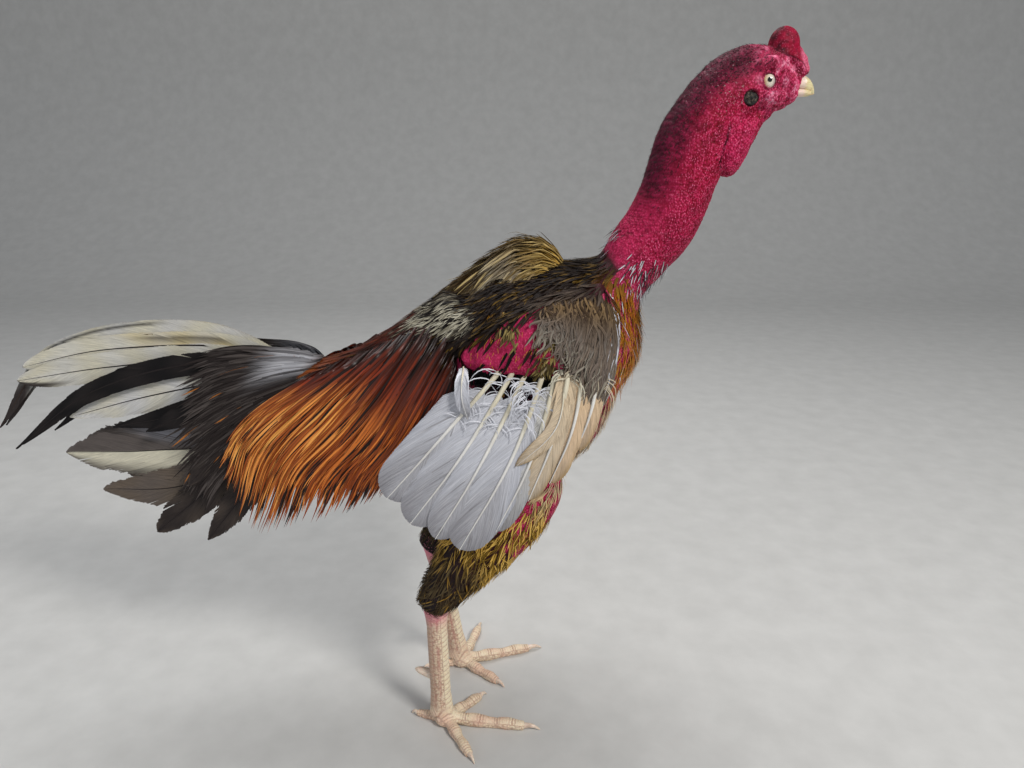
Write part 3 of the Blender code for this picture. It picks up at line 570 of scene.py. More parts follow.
def fused(name, shapes, voxel):
    """Closed shapes melted into one even skin."""
    piece = joined(name, shapes)
    bm = bmesh.new()
    bm.from_mesh(piece.data)
    bmesh.ops.recalc_face_normals(bm, faces=bm.faces)
    bm.to_mesh(piece.data)
    bm.free()
    step = piece.modifiers.new("remesh", "REMESH")
    step.mode = "VOXEL"
    step.voxel_size = voxel
    made = bpy.data.meshes.new_from_object(piece.evaluated_get(bpy.context.evaluated_depsgraph_get()))
    piece.modifiers.clear()
    piece.data = made
    made.shade_smooth()
    return piece


def places_of(piece):
    points = np.empty(len(piece.data.vertices) * 3, np.float32)
    piece.data.vertices.foreach_get("co", points)
    return points.reshape(-1, 3).astype(float)


def normals_of(piece):
    normals = np.empty(len(piece.data.vertices) * 3, np.float32)
    piece.data.vertex_normals.foreach_get("vector", normals)
    return normals.reshape(-1, 3).astype(float)


def place(piece, points):
    piece.data.vertices.foreach_set("co", points.astype(np.float32).ravel())
    piece.data.update()


def relax(piece, rounds, weight=1.0):
    """Evens a mesh out. Weight is from 0, left as it is, to 1, for each point."""
    edges = np.empty(len(piece.data.edges) * 2, np.int32)
    piece.data.edges.foreach_get("vertices", edges)
    a, b = edges.reshape(-1, 2).T
    points = places_of(piece)
    count = len(points)
    links = np.bincount(a, minlength=count) + np.bincount(b, minlength=count)
    share = np.broadcast_to(np.asarray(weight, float), count)[:, None] * 0.7
    for _ in range(rounds):
        around = np.empty_like(points)
        for k in range(3):
            total = np.bincount(a, points[b, k], count) + np.bincount(b, points[a, k], count)
            around[:, k] = total / np.maximum(links, 1)
        points = points + (around - points) * share
    place(piece, points)


def refine(piece, chosen):
    """Splits every face whose corners are all chosen into four."""
    bm = bmesh.new()
    bm.from_mesh(piece.data)
    bm.verts.ensure_lookup_table()
    edges = [e for e in bm.edges if chosen[e.verts[0].index] and chosen[e.verts[1].index]]
    bmesh.ops.subdivide_edges(bm, edges=edges, cuts=1, use_grid_fill=True)
    bm.to_mesh(piece.data)
    bm.free()
    piece.data.shade_smooth()


def paint_points(piece, colours):
    """Stores a colour for each point of the mesh."""
    rgba = np.ones((len(piece.data.vertices), 4), np.float32)
    rgba[:, :3] = np.clip(colours, 0, 1)
    layer = piece.data.attributes.new("dye", "FLOAT_COLOR", "POINT")
    layer.data.foreach_set("color", rgba.ravel())


def store(piece, name, values):
    layer = piece.data.attributes.new(name, "FLOAT", "POINT")
    layer.data.foreach_set("value", np.asarray(values, np.float32).ravel())


def dress(piece, material, slot, *nodes):
    """Gives a piece its material, and its place in the frame."""
    piece.data.materials.append(material)
    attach(piece, "root")
    if nodes:
        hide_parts(*nodes)
    return piece


def closed_piece(name, shapes, material, slot, *nodes):
    """Closed shapes as one smooth piece."""
    piece = joined(name, shapes)
    piece.data.shade_smooth()
    return dress(piece, material, slot, *nodes)


# Materials


class Look:
    """A node material: add() makes a node, whose inputs take numbers, colours or other nodes' outputs."""

    def __init__(self, name, **shader):
        self.material = bpy.data.materials.new(name)
        self.material.use_nodes = True
        self.nodes = self.material.node_tree.nodes
        self.links = self.material.node_tree.links
        self.shader = self.nodes["Principled BSDF"]
        self.feed(self.shader, {key.replace("_", " "): value for key, value in shader.items()})

    def feed(self, node, inputs):
        for key, value in inputs.items():
            socket = node.inputs[key]
            if isinstance(value, bpy.types.NodeSocket):
                self.links.new(value, socket)
            elif socket.type == "RGBA":
                socket.default_value = (*value[:3], 1)
            else:
                socket.default_value = value

    def add(self, kind, inputs=None, **settings):
        node = self.nodes.new("ShaderNode" + kind)
        for key, value in settings.items():
            setattr(node, key, value)
        self.feed(node, inputs or {})
        return node

    def read(self, name, output="Color"):
        return self.add("Attribute", attribute_name=name).outputs[output]

    def noise(self, scale, detail=3.0, rough=0.55, vector=None):
        inputs = {"Scale": scale, "Detail": detail, "Roughness": rough, "Vector": vector or self.where()}
        return self.add("TexNoise", inputs).outputs["Fac"]

    def where(self):
        return self.add("TexCoord").outputs["Object"]

    def cells(self, scale, vector):
        return self.add("TexVoronoi", {"Scale": scale, "Vector": vector}).outputs["Distance"]

    def fit(self, value, low, high, to_low=0.0, to_high=1.0):
        inputs = {"Value": value, 1: low, 2: high, 3: to_low, 4: to_high}
        return self.add("MapRange", inputs).outputs["Result"]

    def math(self, operation, a, b=0.5):
        return self.add("Math", {0: a, 1: b}, operation=operation).outputs[0]

    def blend(self, a, b, share, kind="MIX"):
        return self.add("Mix", {0: share, 6: a, 7: b}, data_type="RGBA", blend_type=kind).outputs[2]

    def bump(self, height, distance, strength=1.0, below=None):
        inputs = {"Height": height, "Distance": distance, "Strength": strength}
        if below is not None:
            inputs["Normal"] = below
        return self.add("Bump", inputs).outputs["Normal"]

    def finish(self, **inputs):
        self.feed(self.shader, {key.replace("_", " "): value for key, value in inputs.items()})
        return self.material


def skin_look():
    """Skin with fine papillae, with painted highlights on top of them and painted shade between them. The
    grain attribute says how strong they are.
    """
    look = Look("skin", Roughness=0.48, Subsurface_Weight=0.05, Subsurface_Scale=0.002)
    look.feed(look.shader, {"Subsurface Radius": (1.0, 0.25, 0.18), "Specular IOR Level": 0.14})
    dye = look.read("dye")
    grain = look.read("grain", "Fac")
    fine = look.noise(900.0, 4.0)
    broad = look.noise(90.0, 4.0, 0.6)
    shade = look.blend(dye, (0.50, 0.35, 0.42), 1.0, "MULTIPLY")
    colour = look.blend(dye, shade, look.fit(broad, 0.42, 0.70))
    drawn = look.add("Mapping", {"Vector": look.where(), "Scale": (1.0, 1.0, 0.7)}).outputs[0]
    bumps = look.cells(720.0, drawn)
    # Painted shade in the low ground between the papillae
    groove = look.math("MULTIPLY", look.fit(bumps, 0.44, 0.72), grain)
    colour = look.blend(colour, look.blend(colour, (0.52, 0.17, 0.30), 1.0, "MULTIPLY"), groove)
    # Painted highlights on top of the papillae, in patches
    patches = look.fit(look.noise(240.0, 2.0), 0.36, 0.62, 0.15, 1.0)
    top_highlight = look.math("MULTIPLY", look.fit(bumps, 0.36, 0.12), look.math("MULTIPLY", grain, patches))
    colour = look.blend(colour, ink("f888ac"), look.math("MULTIPLY", top_highlight, 0.75))
    flakes = look.fit(look.noise(560.0, 2.0), 0.63, 0.70)
    scurf = look.math("MULTIPLY", flakes, look.read("scurf", "Fac"))
    colour = look.blend(colour, (0.45, 0.34, 0.34), scurf)
    height = look.math("MULTIPLY", look.fit(bumps, 0.6, 0.0), grain)
    bump = look.bump(height, 0.0009, 0.6)
    bump = look.bump(fine, 0.0004, 0.4, bump)
    rough = look.fit(fine, 0.3, 0.7, 0.44, 0.66)
    return look.finish(Base_Color=colour, Normal=bump, Roughness=rough)


def leg_look():
    look = Look("leg_scales", Subsurface_Weight=0.06, Subsurface_Scale=0.003)
    look.feed(look.shader, {"Subsurface Radius": (1.0, 0.4, 0.25)})
    dye = look.read("dye")
    fine = look.noise(700.0, 4.0)
    worn = look.noise(90.0, 3.0)
    colour = look.blend(dye, look.blend(dye, (0.80, 0.70, 0.60), 1.0, "MULTIPLY"), look.fit(fine, 0.48, 0.72))
    colour = look.blend(colour, (0.50, 0.40, 0.30), look.fit(worn, 0.60, 0.80, 0.0, 0.25))
    bump = look.bump(fine, 0.0003, 0.35)
    rough = look.fit(fine, 0.3, 0.7, 0.40, 0.62)
    return look.finish(Base_Color=colour, Normal=bump, Roughness=rough)


def horn_look(name, pale, dark, root=None):
    """Horn with fine lines. Root is the colour of the beak's foot, where there is one."""
    look = Look(name, Subsurface_Weight=0.08, Subsurface_Scale=0.002)
    grain = look.add("Mapping", {"Vector": look.where(), "Scale": (1.0, 1.0, 4.0)}).outputs[0]
    lines = look.noise(260.0, 5.0, 0.6, grain)
    broad = look.noise(70.0, 2.0)
    colour = look.blend(pale, dark, look.fit(lines, 0.42, 0.72, 0.0, 0.7))
    colour = look.blend(colour, dark, look.fit(broad, 0.55, 0.75, 0.0, 0.6))
    if root is not None:
        x = look.add("SeparateXYZ", {"Vector": look.where()}).outputs[0]
        colour = look.blend(colour, root, look.fit(x, 0.3700, 0.3665, 0.0, 0.85))
    bump = look.bump(lines, 0.0003, 0.3)
    return look.finish(Base_Color=colour, Normal=bump, Roughness=look.fit(lines, 0.3, 0.7, 0.26, 0.42))


def feather_look(name, rough_low, rough_high, shine, streak=0.6, edge=0.0):
    """Barbs run as fine streaks along the feather, the pale ones partly painted sheen, and edge darkens the
    sides of each strip as painted shade. The strand map holds across and along as u and v.
    """
    look = Look(name)
    look.feed(look.shader, {"Specular IOR Level": shine})
    dye = look.read("dye")
    strand = look.add("UVMap", uv_map="strand").outputs[0]
    parts = look.add("SeparateXYZ", {"Vector": strand})
    inputs = {
        "X": look.math("MULTIPLY", parts.outputs[0], 7.0),
        "Y": look.math("MULTIPLY", parts.outputs[1], 2.5),
        "Z": look.math("MULTIPLY", look.read("tone", "Fac"), 57.0),
    }
    barbs = look.noise(1.0, 3.0, 0.6, look.add("CombineXYZ", inputs).outputs[0])
    dark = look.blend(dye, (0.28, 0.24, 0.22), 1.0, "MULTIPLY")
    colour = look.blend(dye, dark, look.fit(barbs, 0.45, 0.72, 0.0, streak))
    # Pale streaks: partly the barbs, partly painted sheen
    barb_and_sheen = look.blend(dye, (1.5, 1.42, 1.3), 1.0, "MULTIPLY")
    colour = look.blend(colour, barb_and_sheen, look.fit(barbs, 0.45, 0.30, 0.0, streak))
    # Painted shade towards the sides of each strip, as strong as edge says
    rim = look.math("ABSOLUTE", look.math("SUBTRACT", parts.outputs[0], 0.5))
    colour = look.blend(colour, dark, look.fit(rim, 0.22, 0.5, 0.0, edge))
    bump = look.bump(barbs, 0.0003, 0.3)
    rough = look.fit(barbs, 0.3, 0.7, rough_low, rough_high)
    return look.finish(Base_Color=colour, Normal=bump, Roughness=rough)


# Feathers


class Batch:
    """Many thin strips that end up in one mesh."""

    def __init__(self):
        self.parts = []
        self.size = 0

    def add(self, points, dye, tones, strand, spots):
        """Strips of points (n, stations, across, 3). The other values spread over their points."""
        shape = points.shape[:3]
        values = (points, dye, tones, strand, np.clip(spots, 0.001, 0.999))
        rows = [np.broadcast_to(v, (*shape, v.shape[-1])).reshape(-1, v.shape[-1]) for v in values]
        self.parts.append((grid_faces(*shape) + self.size, *rows))
        self.size += len(rows[0])

    def piece(self, name, material, slot, *nodes):
        faces, points, dye, tones, strand, spots = (np.concatenate(rows) for rows in zip(*self.parts))
        made = from_arrays(name, points, faces)
        paint_points(made, dye)
        store(made, "tone", tones)
        for map_name, values in (("strand", strand), ("OFBake", spots)):
            layer = made.data.uv_layers.new(name=map_name)
            layer.data.foreach_set("uv", values.astype(np.float32)[faces.ravel()].ravel())
        made.data.uv_layers["strand"].active = True
        made.data.uv_layers["strand"].active_render = True
        return dress(made, material, slot, *nodes)


def outline(s, blunt, root=0.4):
    """Half width along a feather as a share of its largest, from a narrow root to a round or pointed tip."""
    grow = root + (1 - root) * np.clip(s / 0.35, 0, 1) ** 0.7
    bend = 0.45 + 0.35 * blunt
    fall = np.clip((s - bend) / (1 - bend), 0, 1)
    return grow * np.maximum((1 - fall ** (1.4 + 1.6 * blunt)) ** (1 - 0.5 * blunt), 0.02)


def grid_faces(count, stations, across):
    """The quads of count strips, each stations long and across points wide."""
    n, i, j = np.meshgrid(np.arange(count), np.arange(stations - 1), np.arange(across - 1), indexing="ij")
    corner = (n * stations + i) * across + j
    return np.stack([corner, corner + 1, corner + across + 1, corner + across], -1).reshape(-1, 4)


def blades(batch, paths, outs, widths, dye, tones, roots, cup=0.25, across=3):
    """Thin leaves along paths (n, k, 3), facing outs. Dye is (n, k, 3), roots their places on the unwrap."""
    tangents = unit(np.gradient(paths, axis=1))
    sides = unit(np.cross(outs, tangents))
    normals = np.cross(tangents, sides)
    u = np.linspace(-1, 1, across)
    reach = widths[..., None] * u
    points = paths[:, :, None] + sides[:, :, None] * reach[..., None]
    points = points - normals[:, :, None] * (cup * np.abs(reach) * np.abs(u))[..., None]
    run = np.linspace(0, 1, paths.shape[1])[:, None]
    strand = np.stack(np.broadcast_arrays(u * 0.5 + 0.5, run), -1)
    spots = roots[:, None, None] + (strand - 0.5) * ROOT_PATCH
    batch.add(points, dye[:, :, None], tones[:, None, None, None], strand, spots)


def plume(batch, path, out, half, paint, seed, cell, shape):
    """A large feather: a quill with bundles of barbs on both sides, which part where a bundle has slipped.

    Paint gives the colour at each share of the length, share of the barb and side.
    """
    rng = np.random.default_rng(seed)
    path = curve(path, 60)
    length = np.linalg.norm(np.diff(path, axis=0), axis=1).sum()
    tangents = unit(np.gradient(path, axis=0))
    sides = unit(np.cross(np.broadcast_to(np.asarray(out, float), path.shape), tangents))
    outs = np.cross(tangents, sides)
    foot, ragged = shape["bare"], shape["ragged"]
    shares = np.linspace(foot + 0.02, 1.0, 400)
    rim = np.hypot(np.diff(shares) * length, np.diff(half * outline(shares, shape["blunt"], shape["root"])))
    rim = np.concatenate([[0], np.cumsum(rim)])
    count = int(rim[-1] / shape["step"])
    tips = np.interp(np.linspace(0, rim[-1], count), rim, shares)
    u = np.linspace(0, 1, len(BARB_TAPER))[None]
    for sign in (-1.0, 1.0):
        width = half * outline(tips, shape["blunt"], shape["root"])
        angle = np.radians(shape["lean"]) * (1.1 - 0.45 * tips)
        root = np.clip(tips - width / np.tan(angle) / length, foot * 0.6, 1)
        cuts = np.sort(rng.uniform(0, 1, shape["bundles"]))
        group = np.searchsorted(cuts, tips)
        bundles = [tips[group == g] for g in range(len(cuts) + 1)]
        middle = np.array([bundle.mean() if len(bundle) else 0.5 for bundle in bundles])
        pull = rng.uniform(0, ragged, len(middle))[group]
        tip = tips + (middle[group] - tips) * pull
        frayed = rng.normal(0, 0.12, count) + rng.normal(0, 0.17, len(middle))[group]
        width = width * (1 + ragged * frayed)
        tone = np.clip(rng.uniform(0, 1, len(middle))[group] * 0.5 + rng.uniform(0, 0.5, count), 0, 1)
        sink = shape["camber"] * width + rng.uniform(0, 0.0012, count) * shape["loose"]
        slip = rng.normal(0, 0.0004, len(middle))[group]
        reach = (sign * width)[:, None]
        start, out_at_tip = read_at(path, root), read_at(outs, tip)
        end = read_at(path, tip) + read_at(sides, tip) * reach
        end = end - out_at_tip * sink[:, None] + out_at_tip * slip[:, None]
        bend = (start + end) / 2 + read_at(sides, root) * (reach * 0.14)
        bend = bend - read_at(tangents, root) * (width * 0.14)[:, None]
        s = u[..., None]
        strips = start[:, None] * (1 - s) ** 2 + bend[:, None] * 2 * s * (1 - s) + end[:, None] * s**2
        gap = 1 - shape["loose"] * (1 - step_up(tip, foot + 0.08, foot + 0.34)) * 0.85
        widths = (shape["step"] * 1.15 * gap)[:, None] * np.array(BARB_TAPER)
        across = 0.5 + 0.5 * u * reach / max(half, 1e-6)
        spots = in_cell(cell, across.clip(0, 1), root[:, None] * (1 - u) + tip[:, None] * u)
        barb_strip(batch, strips, read_at(outs, root), widths, paint(tip[:, None], u, sign), tone, spots)
    quill_tube(batch, path + outs * shape["proud"], outs, shape["quill"], paint, cell)


def barb_strip(batch, strips, out, widths, dye, tone, spots):
    """Barbs as ribbons two points wide."""
    outs = np.broadcast_to(out[:, None], strips.shape)
    sides = unit(np.cross(outs, unit(np.gradient(strips, axis=1)))) * widths[..., None]
    run = np.linspace(0, 1, strips.shape[1])[:, None]
    strand = np.stack(np.broadcast_arrays(np.array((0.3, 0.7)), run), -1)
    points = np.stack([strips - sides, strips + sides], 2)
    batch.add(points, dye[:, :, None], tone[:, None, None, None], strand, spots[:, :, None])


def quill_tube(batch, path, outs, thickness, paint, cell):
    """The shaft of a feather, which thins out to its tip."""
    ring = 6
    s = np.linspace(0, 1, len(path))
    radius = thickness * (1 - 0.88 * s) * (1 - 0.25 * np.clip(1 - s / 0.03, 0, 1))
    hint = np.cross(outs, unit(np.gradient(path, axis=0)))
    points, _ = tube(path, radius * 0.8, radius * 0.9, radius, hint, ring)
    points = points[:-2].reshape(len(path), ring, 3)
    points = np.concatenate([points, points[:, :1]], 1)
    half = np.full(len(s), 0.5)
    strand, spots = np.stack([half, s], -1), in_cell(cell, half, s)
    shaft = paint(s, np.full(len(s), -1.0), 0.0)
    batch.add(points[None], shaft[:, None], np.array([0.3]), strand[:, None], spots[:, None])


def cell_of(index, columns=8, rows=8):
    """A rectangle of the feather map for one large feather."""
    col, row = index % columns, (index // columns) % rows
    return ((col + 0.08) / columns, (row + 0.04) / rows), ((col + 0.92) / columns, (row + 0.96) / rows)


def in_cell(cell, across, run):
    """Places in one feather's rectangle of the map."""
    low, high = cell
    return np.stack([low[0] + (high[0] - low[0]) * across, low[1] + (high[1] - low[1]) * run], -1)


# The bare skin


def head_shapes():
    """Brows, cheeks, comb and the folded skin of the throat, melted into the head."""
    shapes = []
    for _, sign in SIDES:
        shapes.append(roll(mirrored(BROW, sign), BROW_R, 10))
        shapes.append(roll(mirrored(CHEEK, sign), CHEEK_R, 9))
        shapes.append(roll(mirrored(LOBE, sign), LOBE_R, 16, 0.9, 18))
    shapes.append(roll(THROAT, THROAT_R, 20, 0.85, 20))
    shapes += [ball(*lump) for lump in COMB_LUMPS]
    for row, (x, z, r) in enumerate(COMB_BULBS):
        shapes.append(ball((x, 0, z), (r, r * 0.8, r)))
        for _, sign in SIDES:
            shapes.append(ball((x - 0.003, sign * (0.0078 - row * 0.001), z - 0.0030), (r * 0.7,) * 3))
    return shapes


def wing_arm(sign):
    """The bare arm of a wing, a little inside its solid."""
    rows = through(WING, 24)
    height, thickness = rows[:, 3] - ARM_DEPTH, rows[:, 4] - ARM_DEPTH
    return tube(rows[:, :3] * (1, sign, 1), height, height, thickness, ring=32)


def thigh(label):
    """The thigh under its feathers."""
    joint = LEGS[label]
    rows = through(THIGH, 24)
    centres = [mix(joint["knee"], joint["hock"], share) for share in rows[:, 0]]
    depth, width = rows[:, 1] - COAT_DEPTH, rows[:, 2] - COAT_DEPTH
    return tube(centres, depth, depth, width, ring=32)


def patch(points, where, soft=0.35):
    """1 inside an oval of the side view, 0 outside it, with a soft edge."""
    x, z, wide, tall = where
    gap = np.sqrt(((points[:, 0] - x) / wide) ** 2 + ((points[:, 2] - z) / tall) ** 2)
    return 1 - step_up(gap, 1 - soft, 1 + soft)


def comb_share(points):
    """1 on the comb, whose lower edge slants down over the forehead."""
    edge = np.interp(points[:, 0], *COMB_EDGE)
    return step_up(points[:, 2] - edge, -0.0010, 0.0014) * step_up(points[:, 0], 0.330, 0.334)


def face_share(station):
    """1 on the face, 0 on the neck."""
    return step_up(station, 14.9, 15.9)


def skin_colours(points, station, angle, lump):
    """Crimson skin: darker on the nape as painted shade, dark on the crown, painted highlights on top of its
    pebbles and painted shade between them, magenta on the body, and painted shade under the feathers and the
    wing quills.
    """
    x, y, z = points.T
    up = np.sin(angle)
    cloud = noise(points, 0.012, 3)
    comb = comb_share(points)
    # Painted shade: the upper side of the neck and head is darkened towards maroon
    back = step_up(up + 0.15 * cloud, -0.10, 0.90) * step_up(station, 9.6, 11.6)
    colours = mix(CRIMSON, MAROON, back)
    low_neck = 1 - step_up(station, 10.0, 12.0)
    colours = mix(colours, MAGENTA, 0.55 * low_neck * (1 - back))
    body = 1 - step_up(station, 7.6, 9.4)
    colours = mix(colours, mix(MAGENTA, ROSE, np.clip(0.30 + 0.4 * cloud, 0, 1)), body)
    colours = mix(colours, PINK, 0.5 * patch(points, BREAST_FRONT) * (0.6 + 0.4 * cloud))
    colours = face_colours(colours, points, station, cloud)
    dusk = step_up(up, 0.1, 0.85) * step_up(station, 11.8, 13.4) * (x < 0.336)
    dusk = dusk * (1 - step_up(x - 1.2 * (z - 0.622), 0.316, 0.330))
    colours = mix(colours, mix(SOOT, MAROON, 0.55), dusk * np.clip(0.45 + 0.5 * cloud, 0, 1))
    colours = throat_colours(colours, points)
    colours = comb_colours(colours, points, comb, lump)
    # Painted highlights on top of the pebbles, and painted shade in the low ground between them
    top_highlight = step_up(lump, 0.60, 0.95) * (1 - comb) * (1 - 0.8 * back)
    colours = mix(colours, ROSE, top_highlight * (0.45 + 0.35 * face_share(station)))
    colours = mix(colours, DEEP_RED, (1 - step_up(lump, 0.05, 0.50)) * (1 - 0.8 * comb) * 0.5)
    # Painted shade on the skin under the dense feathers
    colours = mix(colours, UMBER, 0.95 * shaded_by_feathers(points, station, up))
    # Painted shade on the skin under the wing quills and under the tail at the rear of the trunk
    under_wing_shade = patch(points, UNDER_QUILLS) * (np.abs(y) < 0.088)
    return mix(colours, SOOT, np.maximum(1 - step_up(station, 3.2, 4.0), under_wing_shade))


def face_colours(colours, points, station, cloud):
    """Rosy face skin, brighter round the eye as a painted highlight, with paler wrinkle streaks as painted
    highlights and darker ones as painted shade in front of the ear.
    """
    face = face_share(station)
    ahead_of_ear = face * step_up(points[:, 0], 0.316, 0.326)
    from_eye = flat_gap(points, (EYE[0] + 0.003, EYE[2] - 0.001))
    near = ahead_of_ear * (1 - step_up(from_eye, 0.017, 0.027))
    wrinkle = noise(points * (1.0, 1.0, 0.5), 0.0036, 6)
    colours = mix(colours, mix(ROSE, CRIMSON, 0.45 - 0.3 * cloud), face * 0.8)
    # Painted highlight round the eye
    colours = mix(colours, mix(ROSE, PINK, 0.55), 0.45 * near)
    # Painted highlights along the wrinkles in front of the ear, paler still near the eye
    colours = mix(colours, mix(ROSE, PINK, 0.9), ahead_of_ear * np.clip(wrinkle * 2.4, 0, 0.9))
    colours = mix(colours, mix(PINK, WHITE, 0.35), near * np.clip(wrinkle * 3.0 - 0.9, 0, 0.8))
    # Painted shade in the wrinkles
    return mix(colours, mix(CRIMSON, DEEP_RED, 0.4), ahead_of_ear * np.clip(-wrinkle * 1.8 - 0.1, 0, 0.8))


def throat_colours(colours, points):
    """The rosy lobe of the throat, the painted shadow along the fold behind it and the pale corner of the
    beak.
    """
    x, _, z = points.T
    # A painted shadow along the fold behind the lobe
    foot = CREASE_SHADOW[1][0]
    inside = step_up(z, foot - 0.002, foot + 0.004) * (1 - step_up(z, 0.566, 0.574))
    crease_shadow = bell(x, np.interp(z, CREASE_SHADOW[1], CREASE_SHADOW[0]), 0.0016) * inside
    colours = mix(colours, ROSE, 0.60 * patch(points, LOBE_PATCH))
    colours = mix(colours, DEEP_RED, crease_shadow * 0.95)
    return mix(colours, mix(PINK, WHITE, 0.3), bell(flat_gap(points, GAPE), 0, 0.0045) * 0.8)


def comb_colours(colours, points, comb, lump):
    """A dark red comb, paler and pinker on its front bulb with painted highlights on top of its pebbles, and
    a painted shadow in the seam round its foot.
    """
    x = points[:, 0]
    shade = 0.10 + 0.6 * step_up(-x, -0.354, -0.340) + 0.5 * noise(points, 0.0030, 21)
    colours = mix(colours, mix(CRIMSON, DEEP_RED, np.clip(shade, 0, 1)), comb)
    # Pinker front bulb, with painted highlights on top of its pebbles
    front = comb * step_up(x, *COMB_FRONT)
    colours = mix(colours, mix(CRIMSON, PINK, 0.15 + 0.55 * step_up(lump, 0.60, 0.80)), front)
    # Painted shadow in the seam under the comb's edge
    return mix(colours, DEEP_RED, 3.2 * comb * (1 - comb) * (x > 0.337))


def shaded_by_feathers(points, station, up):
    """The skin under the dense feathers of the back and of the hocks, which is painted dark as their shade,
    from 0 to 1.
    """
    muffs = (points[:, 2] < 0.225) & (points[:, 0] < 0.12)
    back = (up > 0.1) & (station < 9)
    return np.clip(body_cover(points), 0, 1) * (muffs | back)


def skin_grain(points, station, angle):
    """How strong the fine papillae are: most on face and throat, little on the comb and under feathers."""
    up = np.sin(angle)
    grain = np.maximum(0.35 + 0.65 * step_up(-up, -0.5, 0.2), face_share(station))
    crown = step_up(up, 0.2, 0.7) * step_up(station, 9.5, 10.5) * (1 - step_up(station, 15.8, 16.4))
    grain = grain * (1 - 0.9 * shaded_by_feathers(points, station, up))
    return grain * (1 - 0.6 * crown) * (1 - 0.65 * comb_share(points))


def skin_relief(points, station, angle):
    """How high folds and pebbles stand, and how near each point is to the top of its pebble."""
    comb = comb_share(points)
    bare = step_up(station, 8.0, 9.5)
    face = step_up(station, 14.8, 16.0)
    arm = patch(points, ARM, 0.2)
    nape = step_up(np.sin(angle), -0.1, 0.7) * step_up(station, 9.5, 11.0) * (1 - face)

    # On the nape the pebbles are drawn out into rings round the neck
    steps = np.linalg.norm(np.diff(AXIS[:, :2], axis=0), axis=1)
    arc = np.interp(station, PLACES, np.concatenate([[0], np.cumsum(steps)]))
    slant = arc + 0.004 * np.sin(angle * 2 + station)
    ring_top = pebble_tops(np.column_stack([slant / 0.0029, angle * 2.6, np.zeros(len(points))]), 1.0, 5)
    round_top = pebble_tops(points, 0.0023, 2)
    fine_top = pebble_tops(points, 0.0014, 9)
    lump = round_top * (1 - nape) + ring_top * nape
    lump = lump * (1 - comb) + comb * (0.5 + 0.3 * fine_top)
    height = bare * (1 - comb) * (1 - nape) * (0.00115 - 0.00050 * face) * round_top
    height += bare * (1 - comb) * nape * 0.00085 * ring_top
    height += (1 - bare) * (0.00030 + 0.00050 * arm) * round_top
    height += face * (1 - comb) * 0.00035 * fine_top
    height += comb * (0.00022 + 0.00045 * step_up(points[:, 0], *COMB_FRONT)) * fine_top
    height += comb * 0.0006
    height += bare * (1 - comb) * 0.0006 * noise(points, 0.011, 4)
    height += face * (1 - comb) * 0.0013 * noise(points * (1.0, 1.0, 0.5), 0.0040, 6)
    low_arm = arm * (1 - step_up(points[:, 2], 0.375, 0.400))
    height += low_arm * 0.0022 * noise(points * (1.0, 1.0, 0.12), 0.0062, 7)
    return height, lump


def skin_forms(piece):
    """Folds, pebbles, eyelids and ear hollows pressed into the skin."""
    points, normals = places_of(piece), normals_of(piece)
    station, angle = trunk_place(points)
    height, lump = skin_relief(points, station, angle)
    points = points + normals * height[:, None]
    lids = np.zeros(len(points))
    for _, sign in SIDES:
        points, lid = eye_opening(points, sign)
        lids = np.maximum(lids, lid)
        points = ear_hollow(points, sign)
    place(piece, points)
    return station, angle, lump, lids


def eye_opening(points, sign):
    """A slanted opening over the eyeball, with a rolled lid round it and folds outside that."""
    local = points - np.array(EYE) * (1, sign, 1)
    x, z = local[:, 0], local[:, 2]
    turned_x, turned_z = x * 0.96 + z * 0.28, z * 0.96 - x * 0.28
    ring = np.sqrt((turned_x / LID_WIDE) ** 2 + (turned_z / LID_TALL) ** 2)
    near = (points[:, 1] * sign > 0.008) & (ring < 3.0)
    radius = np.sqrt(x**2 + z**2)
    shell = np.sqrt(np.maximum((EYE_R + 0.0007) ** 2 - radius**2, 0))
    side = local[:, 1] * sign
    side = np.where(near & (radius < EYE_R), np.maximum(side, shell), side)
    rim = bell(ring, 1.16, 0.13) * 0.0009
    folds = 0.6 + 0.4 * np.sin(np.arctan2(turned_z, turned_x) * 9)
    fold = bell(ring, 1.62, 0.12) * 0.0008 * folds
    groove = bell(ring, 1.38, 0.08) * 0.0006
    side = side + np.where(near, rim + fold - groove, 0)
    opening = near & (ring < 1.0)
    side = np.where(opening, np.minimum(side, shell - 0.0016 - 0.006 * (1 - ring)), side)
    points = points.copy()
    points[:, 1] = EYE[1] * sign + side * sign
    return points, np.where(near, bell(ring, 1.12, 0.16), 0)


def ear_hollow(points, sign):
    """A shallow round hollow with a raised rim for the ear."""
    radius = flat_gap(points, (EAR[0], EAR[2]))
    near = (points[:, 1] * sign > 0.010) & (radius < 0.016)
    rim = 0.0010 * bell(radius, 0.0082, 0.0014)
    hollow = -0.0034 * (1 - step_up(radius, 0.0048, 0.0072))
    points = points.copy()
    points[:, 1] += np.where(near, rim + hollow, 0) * sign
    return points


